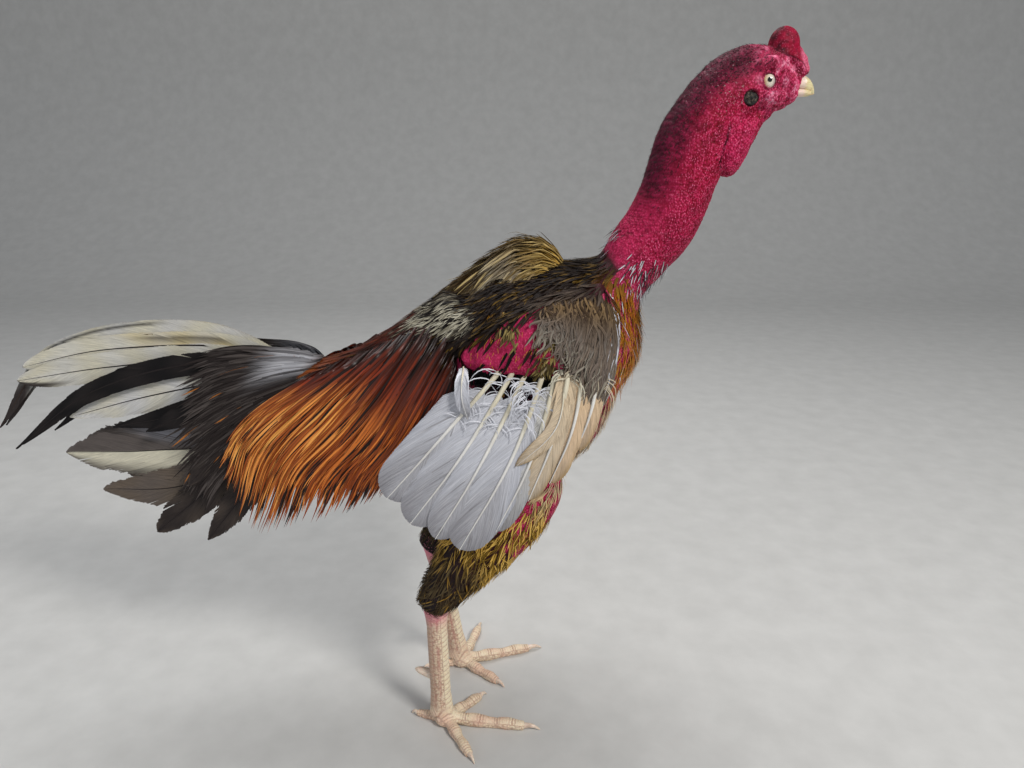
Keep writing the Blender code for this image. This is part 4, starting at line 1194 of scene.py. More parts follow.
def skin_piece():
    """The bare skin of the whole trunk, head, arms and thighs."""
    shapes = [trunk_tube()] + head_shapes()
    for label, sign in SIDES:
        shapes.append(wing_arm(sign))
        shapes.append(thigh(label))
    skin = fused("skin", shapes, SKIN_VOXEL)
    points = places_of(skin)
    station, _ = trunk_place(points)
    relax(skin, 10, 0.25 + 0.75 * (1 - step_up(station, 8.5, 10)))
    refine(skin, (station > 8.8) | (points[:, 2] > 0.52))
    relax(skin, 2)
    station, angle, lump, lids = skin_forms(skin)
    points = places_of(skin)
    colours = skin_colours(points, station, angle, lump)
    colours = mix(colours, MAROON, lids * 0.6)
    for _, sign in SIDES:
        gap = np.linalg.norm(points - np.array(EAR) * (1, sign, 1), axis=1)
        colours = mix(colours, SCAB, (1 - step_up(gap, 0.0058, 0.0080)) * 0.9)
    paint_points(skin, colours)
    crown = step_up(np.sin(angle), 0.3, 0.8) * step_up(station, 12.5, 14.0) * (1 - comb_share(points))
    scurf = bell(flat_gap(points, BEHIND_EAR), 0, 0.016) * 0.8 + 0.30 * crown
    store(skin, "scurf", np.clip(scurf, 0, 1))
    store(skin, "grain", skin_grain(points, station, angle))
    nodes = ("torso", "neck_lower", "neck_upper", "head", "comb", "wattles", "thigh_right", "thigh_left")
    return dress(skin, skin_look(), "bare_skin", *nodes)


# Eyes, ears and beak


def eye_look():
    look = Look("eye", Roughness=0.06, Coat_Weight=1.0, Coat_Roughness=0.02)
    spot = look.add("SeparateXYZ", {"Vector": look.where()})
    x = look.math("SUBTRACT", spot.outputs[0], EYE[0] - 0.0003)
    z = look.math("SUBTRACT", spot.outputs[2], EYE[2] + 0.0006)
    radius = look.math("SQRT", look.math("ADD", look.math("MULTIPLY", x, x), look.math("MULTIPLY", z, z)))
    fibres = look.noise(1500.0, 3.0)
    iris = look.blend(ink("efe9dc"), ink("cfc2a8"), look.fit(fibres, 0.35, 0.7))
    rear = look.fit(x, 0.0000, -0.0042)
    iris = look.blend(iris, ink("d9b34a"), look.math("MULTIPLY", rear, 0.6))
    front = look.fit(x, 0.0020, 0.0036)
    iris = look.blend(iris, ink("b9a9a4"), front)
    rim = look.fit(radius, 0.0018, 0.0022)
    colour = look.blend(ink("080606"), iris, rim)
    return look.finish(Base_Color=colour)


def eye_pieces():
    material = eye_look()
    for label, sign in SIDES:
        shape = ball(np.array(EYE) * (1, sign, 1), (EYE_R,) * 3, 0.0, 48, 32)
        closed_piece("eyeball_" + label, [shape], material, "eyes", "eye_" + label)


def ear_look():
    look = Look("ear_scab", Roughness=0.45)
    lumps = look.noise(420.0, 5.0, 0.65)
    colour = look.blend(ink("120d0b"), ink("7a6c58"), look.fit(lumps, 0.50, 0.72))
    bump = look.bump(lumps, 0.0012, 0.8)
    return look.finish(Base_Color=colour, Normal=bump, Roughness=look.fit(lumps, 0.3, 0.7, 0.45, 0.85))


def ear_pieces():
    """A dark crusted disc with a raised middle in each ear hollow."""
    material = ear_look()
    x, y, z = EAR
    sunk = y - 0.0010
    for label, sign in SIDES:
        points, faces = ball((x, sign * sunk, z), (EAR_R * 1.02, 0.0024, EAR_R * 0.84), 0.0, 64, 36)
        outward = (points[:, 1] * sign > sunk).astype(float)
        lump = 0.0016 * np.clip(noise(points, 0.0042, 8), -0.4, 1) + 0.0009 * noise(points, 0.0017, 9)
        points[:, 1] += sign * outward * lump
        closed_piece("ear_scab_" + label, [(points, faces)], material, "ears", "ear_" + label)


BEAK_UPPER = (  # x, z, up, down, half width
    (0.3570, 0.6025, 0.0092, 0.0034, 0.0084),
    (0.3625, 0.6034, 0.0084, 0.0040, 0.0076),
    (0.3672, 0.6036, 0.0070, 0.0046, 0.0064),
    (0.3712, 0.6024, 0.0050, 0.0046, 0.0050),
    (0.3748, 0.5998, 0.0025, 0.0040, 0.0032),
    (0.3774, 0.5958, 0.0006, 0.0014, 0.0011),
)
BEAK_LOWER = (
    (0.3570, 0.5968, 0.0034, 0.0036, 0.0076),
    (0.3630, 0.5970, 0.0034, 0.0036, 0.0066),
    (0.3690, 0.5970, 0.0032, 0.0034, 0.0050),
    (0.3732, 0.5966, 0.0024, 0.0026, 0.0034),
    (0.3754, 0.5960, 0.0009, 0.0012, 0.0012),
)


def beak_pieces():
    material = horn_look("beak_horn", ink("e6d8a8"), ink("b0925a"), ink("e8cfc4"))
    for name, rows in (("beak_upper", BEAK_UPPER), ("beak_lower", BEAK_LOWER)):
        rows = through(rows, 40)
        points, faces = tube(beside(rows, 0.0), *rows[:, 2:].T, ring=40)
        if name == "beak_upper":
            for _, sign in SIDES:
                offset = (points - np.array(NOSTRIL) * (1, sign, 1)) / NOSTRIL_SIZE
                points[:, 1] -= sign * 0.0014 * bell(np.linalg.norm(offset, axis=1), 0, 1)
        closed_piece(name + "_horn", [(points, faces)], material, "horn", name)


# Legs


def toe_path(label, toe, shares):
    """Centre line and radius of a toe at shares of its length with the claw."""
    ankle = np.array(LEGS[label]["ankle"])
    centre = np.array((ankle[0] + 0.004, ankle[1], 0))
    tip = np.array((*TOE_TIPS[label][toe], 0.0))
    r = TOE_R[toe]
    swell = 1 + 0.10 * np.cos(shares * 2 * math.pi * (2.0 if toe == "hallux" else 3.0))
    radius = r * (1 - 0.34 * shares) * swell
    path = centre + (tip - centre) * shares[:, None]
    path[:, 2] = radius * 0.80 + (PAD_H * 0.55 - r * 0.8) * np.clip(1 - shares / 0.30, 0, 1)
    return path, radius, unit(tip - centre)


def leg_shapes(label):
    joint = LEGS[label]
    top, foot = np.array(joint["hock"]), np.array(joint["ankle"])
    s = np.linspace(0.0, 1.0, 30)
    swell = 1 + 0.30 * np.clip(0.2 - s, 0, 1) / 0.2 + 0.20 * np.clip(s - 0.8, 0, 1) / 0.2
    centres = top + (foot - top) * s[:, None]
    shapes = [tube(centres, SHANK_DEPTH * swell, SHANK_DEPTH * swell, SHANK_WIDTH * swell, ring=32)]
    shapes.append(ball((foot[0] + 0.004, foot[1], PAD_H * 0.5), (PAD_R * 0.98, PAD_R * 0.98, PAD_H * 0.6)))
    for toe in TOE_TIPS[label]:
        path, radius, ahead = toe_path(label, toe, np.linspace(0, 1 - CLAW_SHARE, 24))
        shapes.append(tube(path, radius, radius, radius * 1.03, np.cross((0, 0, 1), ahead), 20))
    return shapes


def scute_groove(distance, spacing, width):
    """How deep in a groove between two plates a point is, from 0 to 1, for plates in a row."""
    share = distance / spacing - np.floor(distance / spacing)
    return bell(np.minimum(share, 1 - share) * spacing, 0, width)


def leg_piece(label, material):
    """Scaled shank and toes of one leg in one skin."""
    skin = fused("leg_" + label, leg_shapes(label), LEG_VOXEL)
    relax(skin, 5)
    points, normals = places_of(skin), normals_of(skin)
    top, foot = np.array(LEGS[label]["hock"]), np.array(LEGS[label]["ankle"])
    down = unit(foot - top)
    length = np.linalg.norm(foot - top)
    run = (points - top) @ down
    offset = points - top - run[:, None] * down
    front = np.arctan2(np.abs(offset[:, 1]), offset[:, 0])
    shank = 1 - step_up(run, length - 0.014, length - 0.004)
    small = step_up(pebbles(points, 0.0024, 3), 0.42, 0.62)
    groove = shank * shank_grooves(run, front, small)
    groove = np.maximum(groove, (1 - shank) * toe_grooves(label, points, small))
    points = points - normals * (groove * 0.00055)[:, None]
    points = points + normals * (0.00025 * noise(points, 0.006, 12))[:, None]
    points[:, 2] = np.maximum(points[:, 2], 0.0)
    place(skin, points)
    paint_points(skin, leg_colours(points, run, front, shank, groove))
    toes = [f"toe_{label}_{toe}" for toe in TOE_TIPS[label]]
    dress(skin, material, "leg_scales", "shank_" + label, "foot_" + label, *toes)


def shank_grooves(run, front, small):
    """Cross plates in front and behind, with small scales between them. Front is the angle from the front."""
    plates = np.maximum(
        scute_groove(run + 0.0016 * np.cos(front * 2), 0.0054, 0.00045) * (front < 1.0),
        scute_groove(run, 0.0048, 0.00045) * (front > 2.25),
    )
    edges = bell((front - 1.02) * SHANK_DEPTH, 0, 0.0004)
    edges = np.maximum(edges, bell((front - 2.22) * SHANK_DEPTH, 0, 0.0004))
    scales = small * ((front >= 1.0) & (front <= 2.25))
    return np.maximum(np.maximum(plates, edges), scales)


def toe_grooves(label, points, small):
    """Cross plates on top of each toe, with small scales below them."""
    best = np.full(len(points), 9.0)
    groove = np.zeros(len(points))
    low = points[:, 2] < 0.03
    for toe in TOE_TIPS[label]:
        path, _, ahead = toe_path(label, toe, np.linspace(0, 1 - CLAW_SHARE, 60))
        gap = np.full(len(points), 9.0)
        where = np.zeros(len(points), int)
        found = ((points[low][:, None] - path[None]) ** 2).sum(2)
        gap[low] = np.sqrt(found.min(1))
        where[low] = found.argmin(1)
        reach = np.linalg.norm(path - path[0], axis=1)[where]
        side = (points - path[where]) @ np.cross((0, 0, 1), ahead)
        lean = np.arctan2(np.abs(side), points[:, 2] - path[where, 2])
        on_top = scute_groove(reach, 0.0029, 0.00034) * (lean < 1.15)
        on_top = np.maximum(on_top, bell((lean - 1.15) * 0.006, 0, 0.0004))
        groove = np.where(gap < best, np.where(lean < 1.2, on_top, small * 0.8), groove)
        best = np.minimum(best, gap)
    return groove


def leg_colours(points, run, front, shank, groove):
    """Pale yellowish scales, pinker and darker behind, partly their own colour and partly painted shade, with
    a red line down each side and dark grooves.
    """
    dusky = mix(LEG_PINK, BROWN, 0.45)
    colours = mix(LEG_PALE, LEG_PINK, np.clip(0.10 + 0.50 * noise(points, 0.018, 5), 0, 1))
    line = bell(front, 1.45, 0.20) * shank
    # Darker behind: partly the scales' own colour, partly painted shade on the back of the shank
    colours = mix(colours, dusky, 0.75 * shank * step_up(front, 1.25, 2.4))
    colours = mix(colours, LEG_RED, line * np.clip(0.45 + 0.45 * noise(points, 0.008, 6), 0, 1))
    joint_pink = np.clip(noise(points, 0.014, 15) * 1.4, 0, 1)
    colours = mix(colours, mix(LEG_PINK, ROSE, 0.12), (1 - shank) * (0.10 + 0.5 * joint_pink))
    colours = mix(colours, mix(dusky, LEG_RED, 0.15), groove * 0.75)
    return mix(colours, mix(PINK, MAGENTA, 0.35), (1 - step_up(run, 0.004, 0.032)) * 0.85)


def claw_shape(label, toe):
    """A curved claw from the end of a toe down to the ground."""
    path, radius, ahead = toe_path(label, toe, np.linspace(0, 1 - CLAW_SHARE, 30))
    tip = np.array((*TOE_TIPS[label][toe], 0.0))
    reach = ahead * np.linalg.norm(tip - path[-1] * (1, 1, 0))
    s = np.linspace(-0.12, 1, 24)
    held = np.clip(s, 0, 1)
    centres = path[-1] + reach * s[:, None]
    centres[:, 2] += 0.0022 * np.sin(math.pi * held) - (path[-1][2] - 0.0004) * held
    size = radius[-1] * np.interp(s, *CLAW_TAPER)
    points, faces = tube(centres, size, size * 0.85, size * 0.8, np.cross((0, 0, 1), ahead), 20)
    points[:, 2] = np.maximum(points[:, 2], 0.0)
    return points, faces


def spur_shape(label, sign):
    """A blunt ringed spur on the inner back of the shank."""
    root = mix(LEGS[label]["hock"], LEGS[label]["ankle"], 0.68)
    root = root + np.array((-SHANK_DEPTH * 0.6, -sign * SHANK_WIDTH * 0.5, 0))
    s = np.linspace(0, 1, 30)
    centres = root + np.array((-0.0195, -sign * 0.006, 0.003)) * s[:, None]
    size = np.interp(s, *SPUR_SIZE) * (1 + 0.03 * np.sin(s * 60))
    return tube(centres, size, size, size, ring=24)


def claw_pieces(label, sign, material):
    toes = TOE_TIPS[label]
    claws = [claw_shape(label, toe) for toe in toes]
    closed_piece("claws_" + label, claws, material, "horn", *(f"claw_{label}_{toe}" for toe in toes))
    closed_piece("spur_horn_" + label, [spur_shape(label, sign)], material, "horn", "spur_" + label)


# Coat


class Skin:
    """The finished skin as a surface to root feathers in and lay them on."""

    def __init__(self, piece):
        mesh = piece.data
        mesh.calc_loop_triangles()
        self.points = places_of(piece)
        corners = np.empty(len(mesh.loop_triangles) * 3, np.int32)
        mesh.loop_triangles.foreach_get("vertices", corners)
        self.corners = corners.reshape(-1, 3)
        self.tree = BVHTree.FromPolygons(self.points.tolist(), self.corners.tolist())
        a, b, c = (self.points[self.corners[:, k]] for k in range(3))
        cross = np.cross(b - a, c - a)
        self.areas = np.linalg.norm(cross, axis=1) / 2
        self.normals = unit(cross)
        self.centres = (a + b + c) / 3
        self.map_sides()

    def roots(self, count, share, rng):
        """Random places on the skin, denser where share is larger, with their normals."""
        weights = self.areas * np.clip(share, 0, None)
        chosen = rng.choice(len(weights), count, p=weights / weights.sum())
        u, v = rng.uniform(0, 1, (2, count))
        flip = u + v > 1
        u, v = np.where(flip, 1 - u, u), np.where(flip, 1 - v, v)
        a, b, c = (self.points[self.corners[chosen, k]] for k in range(3))
        return a + (b - a) * u[:, None] + (c - a) * v[:, None], self.normals[chosen]

    def nearest(self, points):
        found = [self.tree.find_nearest(Vector(p)) for p in points]
        return np.array([f[0] for f in found]), np.array([f[1] for f in found])

    def map_sides(self):
        """How far out the skin reaches to each side, at even steps of the side view."""
        self.sides = {}
        for sign in (-1.0, 1.0):
            reach = np.zeros((len(MAP_X), len(MAP_Z)))
            for i, x in enumerate(MAP_X):
                for j, z in enumerate(MAP_Z):
                    hit = self.tree.ray_cast(Vector((x, 0.3 * sign, z)), Vector((0, -sign, 0)))[0]
                    reach[i, j] = 0.0 if hit is None else max(0.0, hit.y * sign)
            self.sides[sign] = reach

    def reach(self, flat, sign):
        """How far out the skin reaches to one side at places of the side view, 0 where there is none."""
        i = np.clip((flat[..., 0] - MAP_X[0]) / (MAP_X[1] - MAP_X[0]), 0, len(MAP_X) - 1.001)
        j = np.clip((flat[..., 1] - MAP_Z[0]) / (MAP_Z[1] - MAP_Z[0]), 0, len(MAP_Z) - 1.001)
        return read_grid(self.sides[sign], i, j)


def unwrap(points):
    """Places of roots on the trunk's own unwrap: its length as u, the way round it as v."""
    station, angle = trunk_place(points)
    return np.column_stack([0.02 + 0.96 * station / LAST, 0.02 + 0.96 * ((angle / (2 * math.pi)) % 1.0)])


def laid(skin, roots, normals, headings, lengths, stations, lift):
    """Paths that start in the skin, follow it along their heading and rise off it towards their tips."""
    headings = unit(headings - (headings * normals).sum(1, keepdims=True) * normals)
    paths, outs = np.empty((len(roots), stations, 3)), np.empty((len(roots), stations, 3))
    surface, normal = roots, normals
    step = lengths[:, None] / (stations - 1)
    for k in range(stations):
        share = k / (stations - 1)
        paths[:, k] = surface + normal * (lift * share**0.8 - 0.0008 * (1 - share))[:, None]
        outs[:, k] = normal
        surface, facing = skin.nearest(surface + headings * step)
        normal = unit(2 * normal + facing)
        headings = unit(headings - (headings * normal).sum(1, keepdims=True) * normal)
    return paths, outs


def fade(first, second, stations, bend=1.0):
    """Colours from first to second along each feather."""
    share = np.linspace(0, 1, stations) ** bend
    return first[:, None] * (1 - share[None, :, None]) + second[:, None] * share[None, :, None]


def fan(lines, across, run):
    """Places in the side view on a fan of lines: across picks the line, run how far along it."""
    lines = np.asarray(lines, float)
    runs, lanes = np.linspace(0, FAN_END, FAN_RUNS), np.linspace(0, len(lines) - 1, FAN_LANES)
    steps = lines.shape[1] - 1
    rows = []
    for line in lines:
        beyond = np.clip(runs - 1, 0, None)[:, None] * (line[-1] - line[-2]) * steps
        rows.append(along(line, runs * steps) + beyond)
    table = along(np.reshape(rows, (len(lines), -1)), lanes).reshape(FAN_LANES, FAN_RUNS, 2)
    i = np.clip(across / (len(lines) - 1) * (FAN_LANES - 1), 0, FAN_LANES - 1.001)
    j = np.clip(run / FAN_END * (FAN_RUNS - 1), 0, FAN_RUNS - 1.001)
    return read_grid(table, i, j)


def hung(skin, flat, sign, lift, floor, fall=0.0012):
    """Paths over one side of the body. Flat holds x and z, floor the least distance from the mid plane."""
    y = np.maximum(skin.reach(flat, sign), floor) + lift
    y[:, 0] = np.maximum(skin.reach(flat[:, 0], sign) - 0.0015, 0.001)
    for k in range(1, y.shape[1]):
        y[:, k] = np.maximum(y[:, k], y[:, k - 1] - fall)
    for _ in range(2):
        y[:, 1:-1] = (y[:, :-2] + 2 * y[:, 1:-1] + y[:, 2:]) / 4
    paths = np.stack([flat[..., 0], y * sign, flat[..., 1]], -1)
    tilt = 0.5 * np.clip((flat[..., 1] - 0.36) / 0.05, 0, 1)
    return paths, unit(np.stack([np.zeros_like(y), np.full_like(y, sign), tilt], -1))


def slender(count, stations, low, high, rng, blunt=0.1, root=0.5):
    """Half widths of count narrow feathers."""
    return outline(np.linspace(0, 1, stations), blunt, root)[None] * rng.uniform(low, high, count)[:, None]


def saddle_colours(across, run, tones):
    """Dark maroon brown by the back, then rust, then orange and gold, redder near the wing."""
    gold = mix(ORANGE, AMBER, np.clip(tones * 1.6 - 0.50 - across * 0.08, 0, 1))
    red = mix(RUST, ORANGE, np.clip(tones * 1.3 - 0.1, 0, 1))
    body = mix(gold, red, step_up(across, 2.0, 6.0) * 0.8)
    colours = mix(mix(UMBER, RUST, 0.5 * tones), mix(UMBER, RUST, 0.3 + tones), step_up(run, 0.06, 0.26))
    colours = mix(colours, body, step_up(run, 0.24, 0.50) * (0.55 + 0.45 * tones))
    return mix(colours, RUST * 1.4, step_up(run, 0.90, 1.05) * 0.5)


def saddle_piece(skin, material):
    """Long narrow hackles in shingled layers that sweep back and down from the back."""
    rng = np.random.default_rng(SEED)
    batch = Batch()
    count, stations, slots = 1000, 14, 62
    u = np.linspace(0, 1, stations)[None]
    for _, sign in SIDES:
        slot = rng.integers(0, slots, count)
        lane = np.random.default_rng(SEED + 5).normal(0, 0.3, slots)[slot]
        across = np.clip((slot + 0.5 + lane + rng.normal(0, 0.13, count)) / slots * 6, 0, 6)
        layer = rng.uniform(0, 1, count)
        start = layer * np.interp(across, (0, 1, 2, 4, 6), (0.10, 0.28, 0.40, 0.52, 0.45))
        end = 0.28 + 0.80 * layer**0.6 + rng.normal(0, 0.05, count)
        end = np.clip(end, start + 0.2, 1.10)
        run = start[:, None] + (end - start)[:, None] * u
        sway = rng.normal(0, 0.10, count)[:, None] * u**2 + 0.06 * np.sin(across * 9)[:, None] * u
        flat = fan(FLOW, across[:, None] + sway, run)
        lift = 0.0018 + 0.0095 * (1 - layer) + rng.uniform(0, 0.0018, count)
        floor = np.interp(across, (0, 2, 6), (0.034, 0.049, 0.060))[:, None] * np.clip(u / 0.3, 0, 1)
        paths, outs = hung(skin, flat, sign, lift[:, None], floor, 0.0018)
        outs = unit(outs + rng.normal(0, 0.30, (count, 1, 3)) * (1, 0, 1))
        tones = rng.uniform(0, 1, count)
        dye = saddle_colours(across[:, None], run, np.broadcast_to(tones[:, None], run.shape))
        dark = (tones < 0.16)[:, None, None]
        glow = 0.50 + 0.60 * step_up(tones, 0.45, 0.85)[:, None]
        dye = np.where(dark, UMBER, dye) * (0.40 + glow * step_up(u, 0.05, 0.45))[..., None]
        widths = slender(count, stations, 0.0012, 0.0023, rng, 0.1, 0.12)
        blades(batch, paths, outs, widths, dye, tones, unwrap(paths[:, 1]), cup=0.5)
    back_hackles(skin, batch, rng)
    return batch.piece("saddle_hackles", material, "saddle_hackles", "saddle")


def back_hackles(skin, batch, rng):
    """Hackles on the ridge of the rump, which close the saddle along the top."""
    count, stations = 900, 9
    station = rng.uniform(0.9, 4.4, count)
    angle = np.radians(rng.uniform(38, 142, count))
    roots, normals, ahead = trunk_point(station, angle, -0.001)
    side = np.column_stack([np.zeros(count), np.cos(angle) * 0.5, np.full(count, -0.10)])
    lengths = rng.uniform(0.045, 0.075, count) * np.interp(station, (0.9, 2.5), (0.7, 1.0))
    lift = rng.uniform(0.0020, 0.0050, count)
    paths, outs = laid(skin, roots, normals, -ahead + side, lengths, stations, lift)
    tones = rng.uniform(0, 1, count)
    share = np.clip((4.2 - station[:, None]) / 3.4 * 0.30 + 0.14 * np.linspace(0, 1, stations), 0, 1)
    dye = saddle_colours(np.full_like(share, 1.5), share, np.broadcast_to(tones[:, None], share.shape))
    widths = slender(count, stations, 0.0010, 0.0018, rng, 0.1, 0.12)
    blades(batch, paths, outs, widths, dye * 0.8, tones, unwrap(roots), cup=0.4)


def tail_paint(kind, sign):
    """The colours of a tail feather, whose upper and lower vane often differ."""

    def paint(s, u, side):
        s, u = np.broadcast_arrays(np.asarray(s, float), np.asarray(u, float))
        shaft = u < 0
        u = np.abs(u)
        upper = side * sign > 0
        stripe = 0.5 + 0.5 * np.sin(s * 41 + u * 5)
        quill = SOOT
        if kind == "sickle":
            colour = mix(mix(CREAM, GREY, 0.25 * stripe), CHALK, 0.45 * stripe)
            line = bell(u, 0.72, 0.09) * between(s, 0.40, 0.50, 0.84, 0.92)
            colour = mix(colour, BLACK, line * (0.95 if upper else 0.3))
            colour = mix(colour, COAL, step_up(s, 0.80, 0.90))
            quill = mix(STRAW, BROWN, step_up(s, 0.30, 0.5))
        elif kind == "gold":
            colour = mix(CREAM, STRAW, 0.6 * between(s, 0.30, 0.42, 0.62, 0.75) * (1 - 0.5 * u))
            colour = mix(colour, CHALK, 0.35 * stripe)
            line = bell(u, 0.40, 0.16) * between(s, 0.32, 0.40, 0.60, 0.72)
            colour = mix(colour, BLACK, line * (1.0 if upper else 0.4))
        elif kind == "cream":
            colour = mix(CREAM, CHALK, 0.45 * stripe)
            rim = 0.0 if upper else 1.0
            colour = mix(colour, COAL, rim * step_up(s, 0.84, 0.94) * step_up(u, 0.5, 0.8))
        elif kind == "white":
            colour = mix(CHALK, CREAM, 0.3 + 0.5 * stripe)
            colour = mix(colour, COAL, 0.8 * (1 - step_up(s, 0.36, 0.46)))
        elif kind == "broad":
            if upper:
                dull = 0.3 * stripe + step_up(s, 0.72, 0.86) + 0.6 * step_up(u, 0.6, 1.0)
                colour = mix(GREY, SLATE, np.clip(dull, 0, 1))
            else:
                colour = mix(CREAM, SLATE * 0.8, step_up(u, 0.62, 0.95) * 0.9)
            colour = mix(colour, COAL, 1 - step_up(s, 0.38, 0.50))
        elif kind == "dun":
            colour = mix(DUN * 0.75, SLATE, stripe * 0.6)
            bar = 0.0 if upper else 0.8
            colour = mix(colour, WHITE * 0.7, bar * between(s, 0.6, 0.66, 0.72, 0.78))
            colour = mix(colour, COAL, 0.8 * (1 - step_up(s, 0.40, 0.55)))
        elif kind == "brown":
            colour = mix(COAL * 0.8, DUN * 0.6, 0.5 * stripe * u)
        else:
            colour = mix(BLACK, COAL, 0.35 * stripe)
        return np.where(shaft[..., None], quill, colour)

    return paint


TAIL_KINDS = (
    "sickle", "gold", "cream", "white", "broad", "dun", "black", "black", "brown", "brown", "coal", "brown"
)


def tail_piece(material):
    """The large tail feathers of both sides, from the longest pair down."""
    rng = np.random.default_rng(SEED + 1)
    batch = Batch()
    index = 0
    for layer, (row, kind) in enumerate(zip(TAIL, TAIL_KINDS)):
        share = layer / (len(TAIL) - 1)
        half = row[6] * (1.25 if kind in ("broad", "dun", "white", "brown") else 1.0)
        spread = (0.0018 + 0.0125 * share, 0.003 + 0.0185 * share, 0.004 + 0.030 * share)
        y = np.interp(np.linspace(0, 1, 24), (0, 0.3, 1), spread)
        for _, sign in SIDES:
            root = (TAIL_ROOT[0], TAIL_ROOT[1] - 0.018 * share)
            points = np.array((root, row[0:2], row[2:4], row[4:6]))
            if sign > 0:
                points = points[0] + (points - points[0]) * rng.uniform(0.93, 1.0)
            shape = {**TAIL_SHAPE, "blunt": min(row[7] * 1.5, 0.75), "bundles": int(rng.integers(12, 20))}
            if kind in ("broad", "dun", "brown"):
                shape.update(ragged=0.35, bundles=26)
            path, paint = beside(curve(points, 24), y * sign), tail_paint(kind, sign)
            plume(batch, path, (0, sign, 0), half, paint, SEED + 20 + index, cell_of(index), shape)
            index += 1
    return batch.piece("tail_plumes", material, "tail_feathers", "tail")


def covert_piece(skin, material):
    """Dark silky feathers that fan over the foot of the tail, with a painted silvery sheen where they leave
    the rump.
    """
    rng = np.random.default_rng(SEED + 2)
    batch = Batch()
    count, stations = 560, 14
    u = np.linspace(0, 1, stations)[None]
    for _, sign in SIDES:
        across = rng.uniform(0, 4, count)
        layer = rng.uniform(0, 1, count)
        start = 0.04 + 0.22 * layer
        most = np.interp(across, (0, 0.7, 1.5, 2.5, 3.3, 4), (0.72, 0.80, 0.74, 0.74, 0.88, 1.0))
        end = (0.45 + 0.55 * layer**0.7 + rng.normal(0, 0.07, count)) * most
        run = start[:, None] + (end - start)[:, None] * u
        flat = fan(COVERTS, across[:, None] + rng.normal(0, 0.12, count)[:, None] * u**2, run)
        spread = np.interp(run, (0, 0.3, 1.1), (0.010, 0.024, 0.036))
        spread = spread * np.interp(across, (0, 1, 4), (0.55, 0.9, 1.0))[:, None]
        lift = (0.0045 * (1 - layer))[:, None] * np.clip(u / 0.2, 0, 1)
        paths, outs = hung(skin, flat, sign, lift, spread, 0.0018)
        tones = rng.uniform(0, 1, count)
        # Painted sheen near the rump
        sheen = between(run, 0.02, 0.10, 0.20, 0.42)
        sheen = sheen * np.interp(across, (0, 0.6, 1.6, 2.2), (0.5, 1, 0.8, 0))[:, None]
        dark = mix(COAL * 0.7, SLATE, (tones[:, None] ** 2 * 0.8) + 0 * run)
        dye = mix(dark, WHITE * 0.85, sheen * tones[:, None] ** 0.5)
        gold = (tones > 0.975)[:, None, None]
        dye = np.where(gold, mix(RUST, AMBER, 0.45), dye)
        widths = slender(count, stations, 0.0012, 0.0024, rng, 0.2)
        blades(batch, paths, outs, widths, dye, tones, unwrap(paths[:, 1]), cup=0.35)
    return batch.piece("tail_coverts", material, "tail_feathers")


def flight_paint(kind, seed):
    """The colours of a wing quill, with painted shade where its vane parts beside the quill, and dark specks
    in the vane.
    """
    slits = np.random.default_rng(seed).uniform(0.2, 0.8, 3)

    def paint(s, u, side):
        s, u = np.broadcast_arrays(np.asarray(s, float), np.asarray(u, float))
        shaft = u < 0
        u = np.abs(u)
        colour = FLIGHT_SHADES[kind] + np.zeros(s.shape + (3,))
        dull = 1.0 if kind in ("white", "pale") else 0.3
        colour = mix(colour, GREY, dull * step_up(s, 0.20, 0.75) * (0.30 + 0.35 * u))
        colour = mix(colour, SLATE, 0.35 * step_up(s, 0.80, 1.0) * u)
        # Painted shade where the vane parts beside the quill
        for middle in slits:
            parting_shade = bell(s, middle, 0.035) * bell(u, 0.13, 0.08)
            colour = mix(colour, SOOT, parting_shade * (0.85 if side > 0 else 0.2))
        speck = np.sin(s * 173 + u * 37 + seed) * np.sin(s * 61 - u * 11)
        colour = mix(colour, SLATE, 0.45 * step_up(speck, 0.80, 0.95))
        colour = mix(colour, mix(GREY, DUN, 0.4), 0.45 * dull * step_up(s, 0.78, 1.0))
        if kind in ("cream", "peach"):
            colour = mix(colour, mix(GOLD, OLIVE, 0.4), step_up(u, 0.6, 1.0) * step_up(s, 0.5, 0.9) * 0.5)
        return np.where(shaft[..., None], mix(PALE_BONE, WHITE, step_up(s, 0.2, 0.5) * 0.6), colour)

    return paint


# The vane of each flight feather: its kind, how much wider it is than its solid, its layer from the inside
# out, and the share of its quill that carries only loose barbs
FLIGHT_VANES = (
    ("white", 1.35, 0.0, 0.34),
    ("white", 1.30, 1.0, 0.30),
    ("white", 1.15, 2.0, 0.28),
    ("white", 1.25, 3.0, 0.28),
    ("pale", 1.0, 2.2, 0.16),
    ("cream", 0.9, 3.2, 0.10),
    ("peach", 1.0, 1.5, 0.12),
    ("peach", 1.0, 0.5, 0.28),
)
FLIGHT_SHADES = {
    "white": WHITE,
    "pale": mix(WHITE, CREAM, 0.5),
    "cream": mix(CREAM, PEACH, 0.6),
    "peach": PEACH,
}
BARB_SHADES = {"white": WHITE, "pale": WHITE, "cream": CREAM, "peach": mix(CREAM, PEACH, 0.4)}
# Short feathers over the quills: x and z of the start, the middle and the tip, the half width and the kind
SMALL_FLIGHTS = (
    (0.0800, 0.378, 0.0790, 0.357, 0.0835, 0.337, 0.0055, "white"),
    (0.1640, 0.374, 0.1560, 0.330, 0.1225, 0.2945, 0.0065, "cream"),
)
CURLS = ((0.1235, 0.374), (0.1330, 0.350), (0.1270, 0.338))  # a tuft of curled barbs over the quills


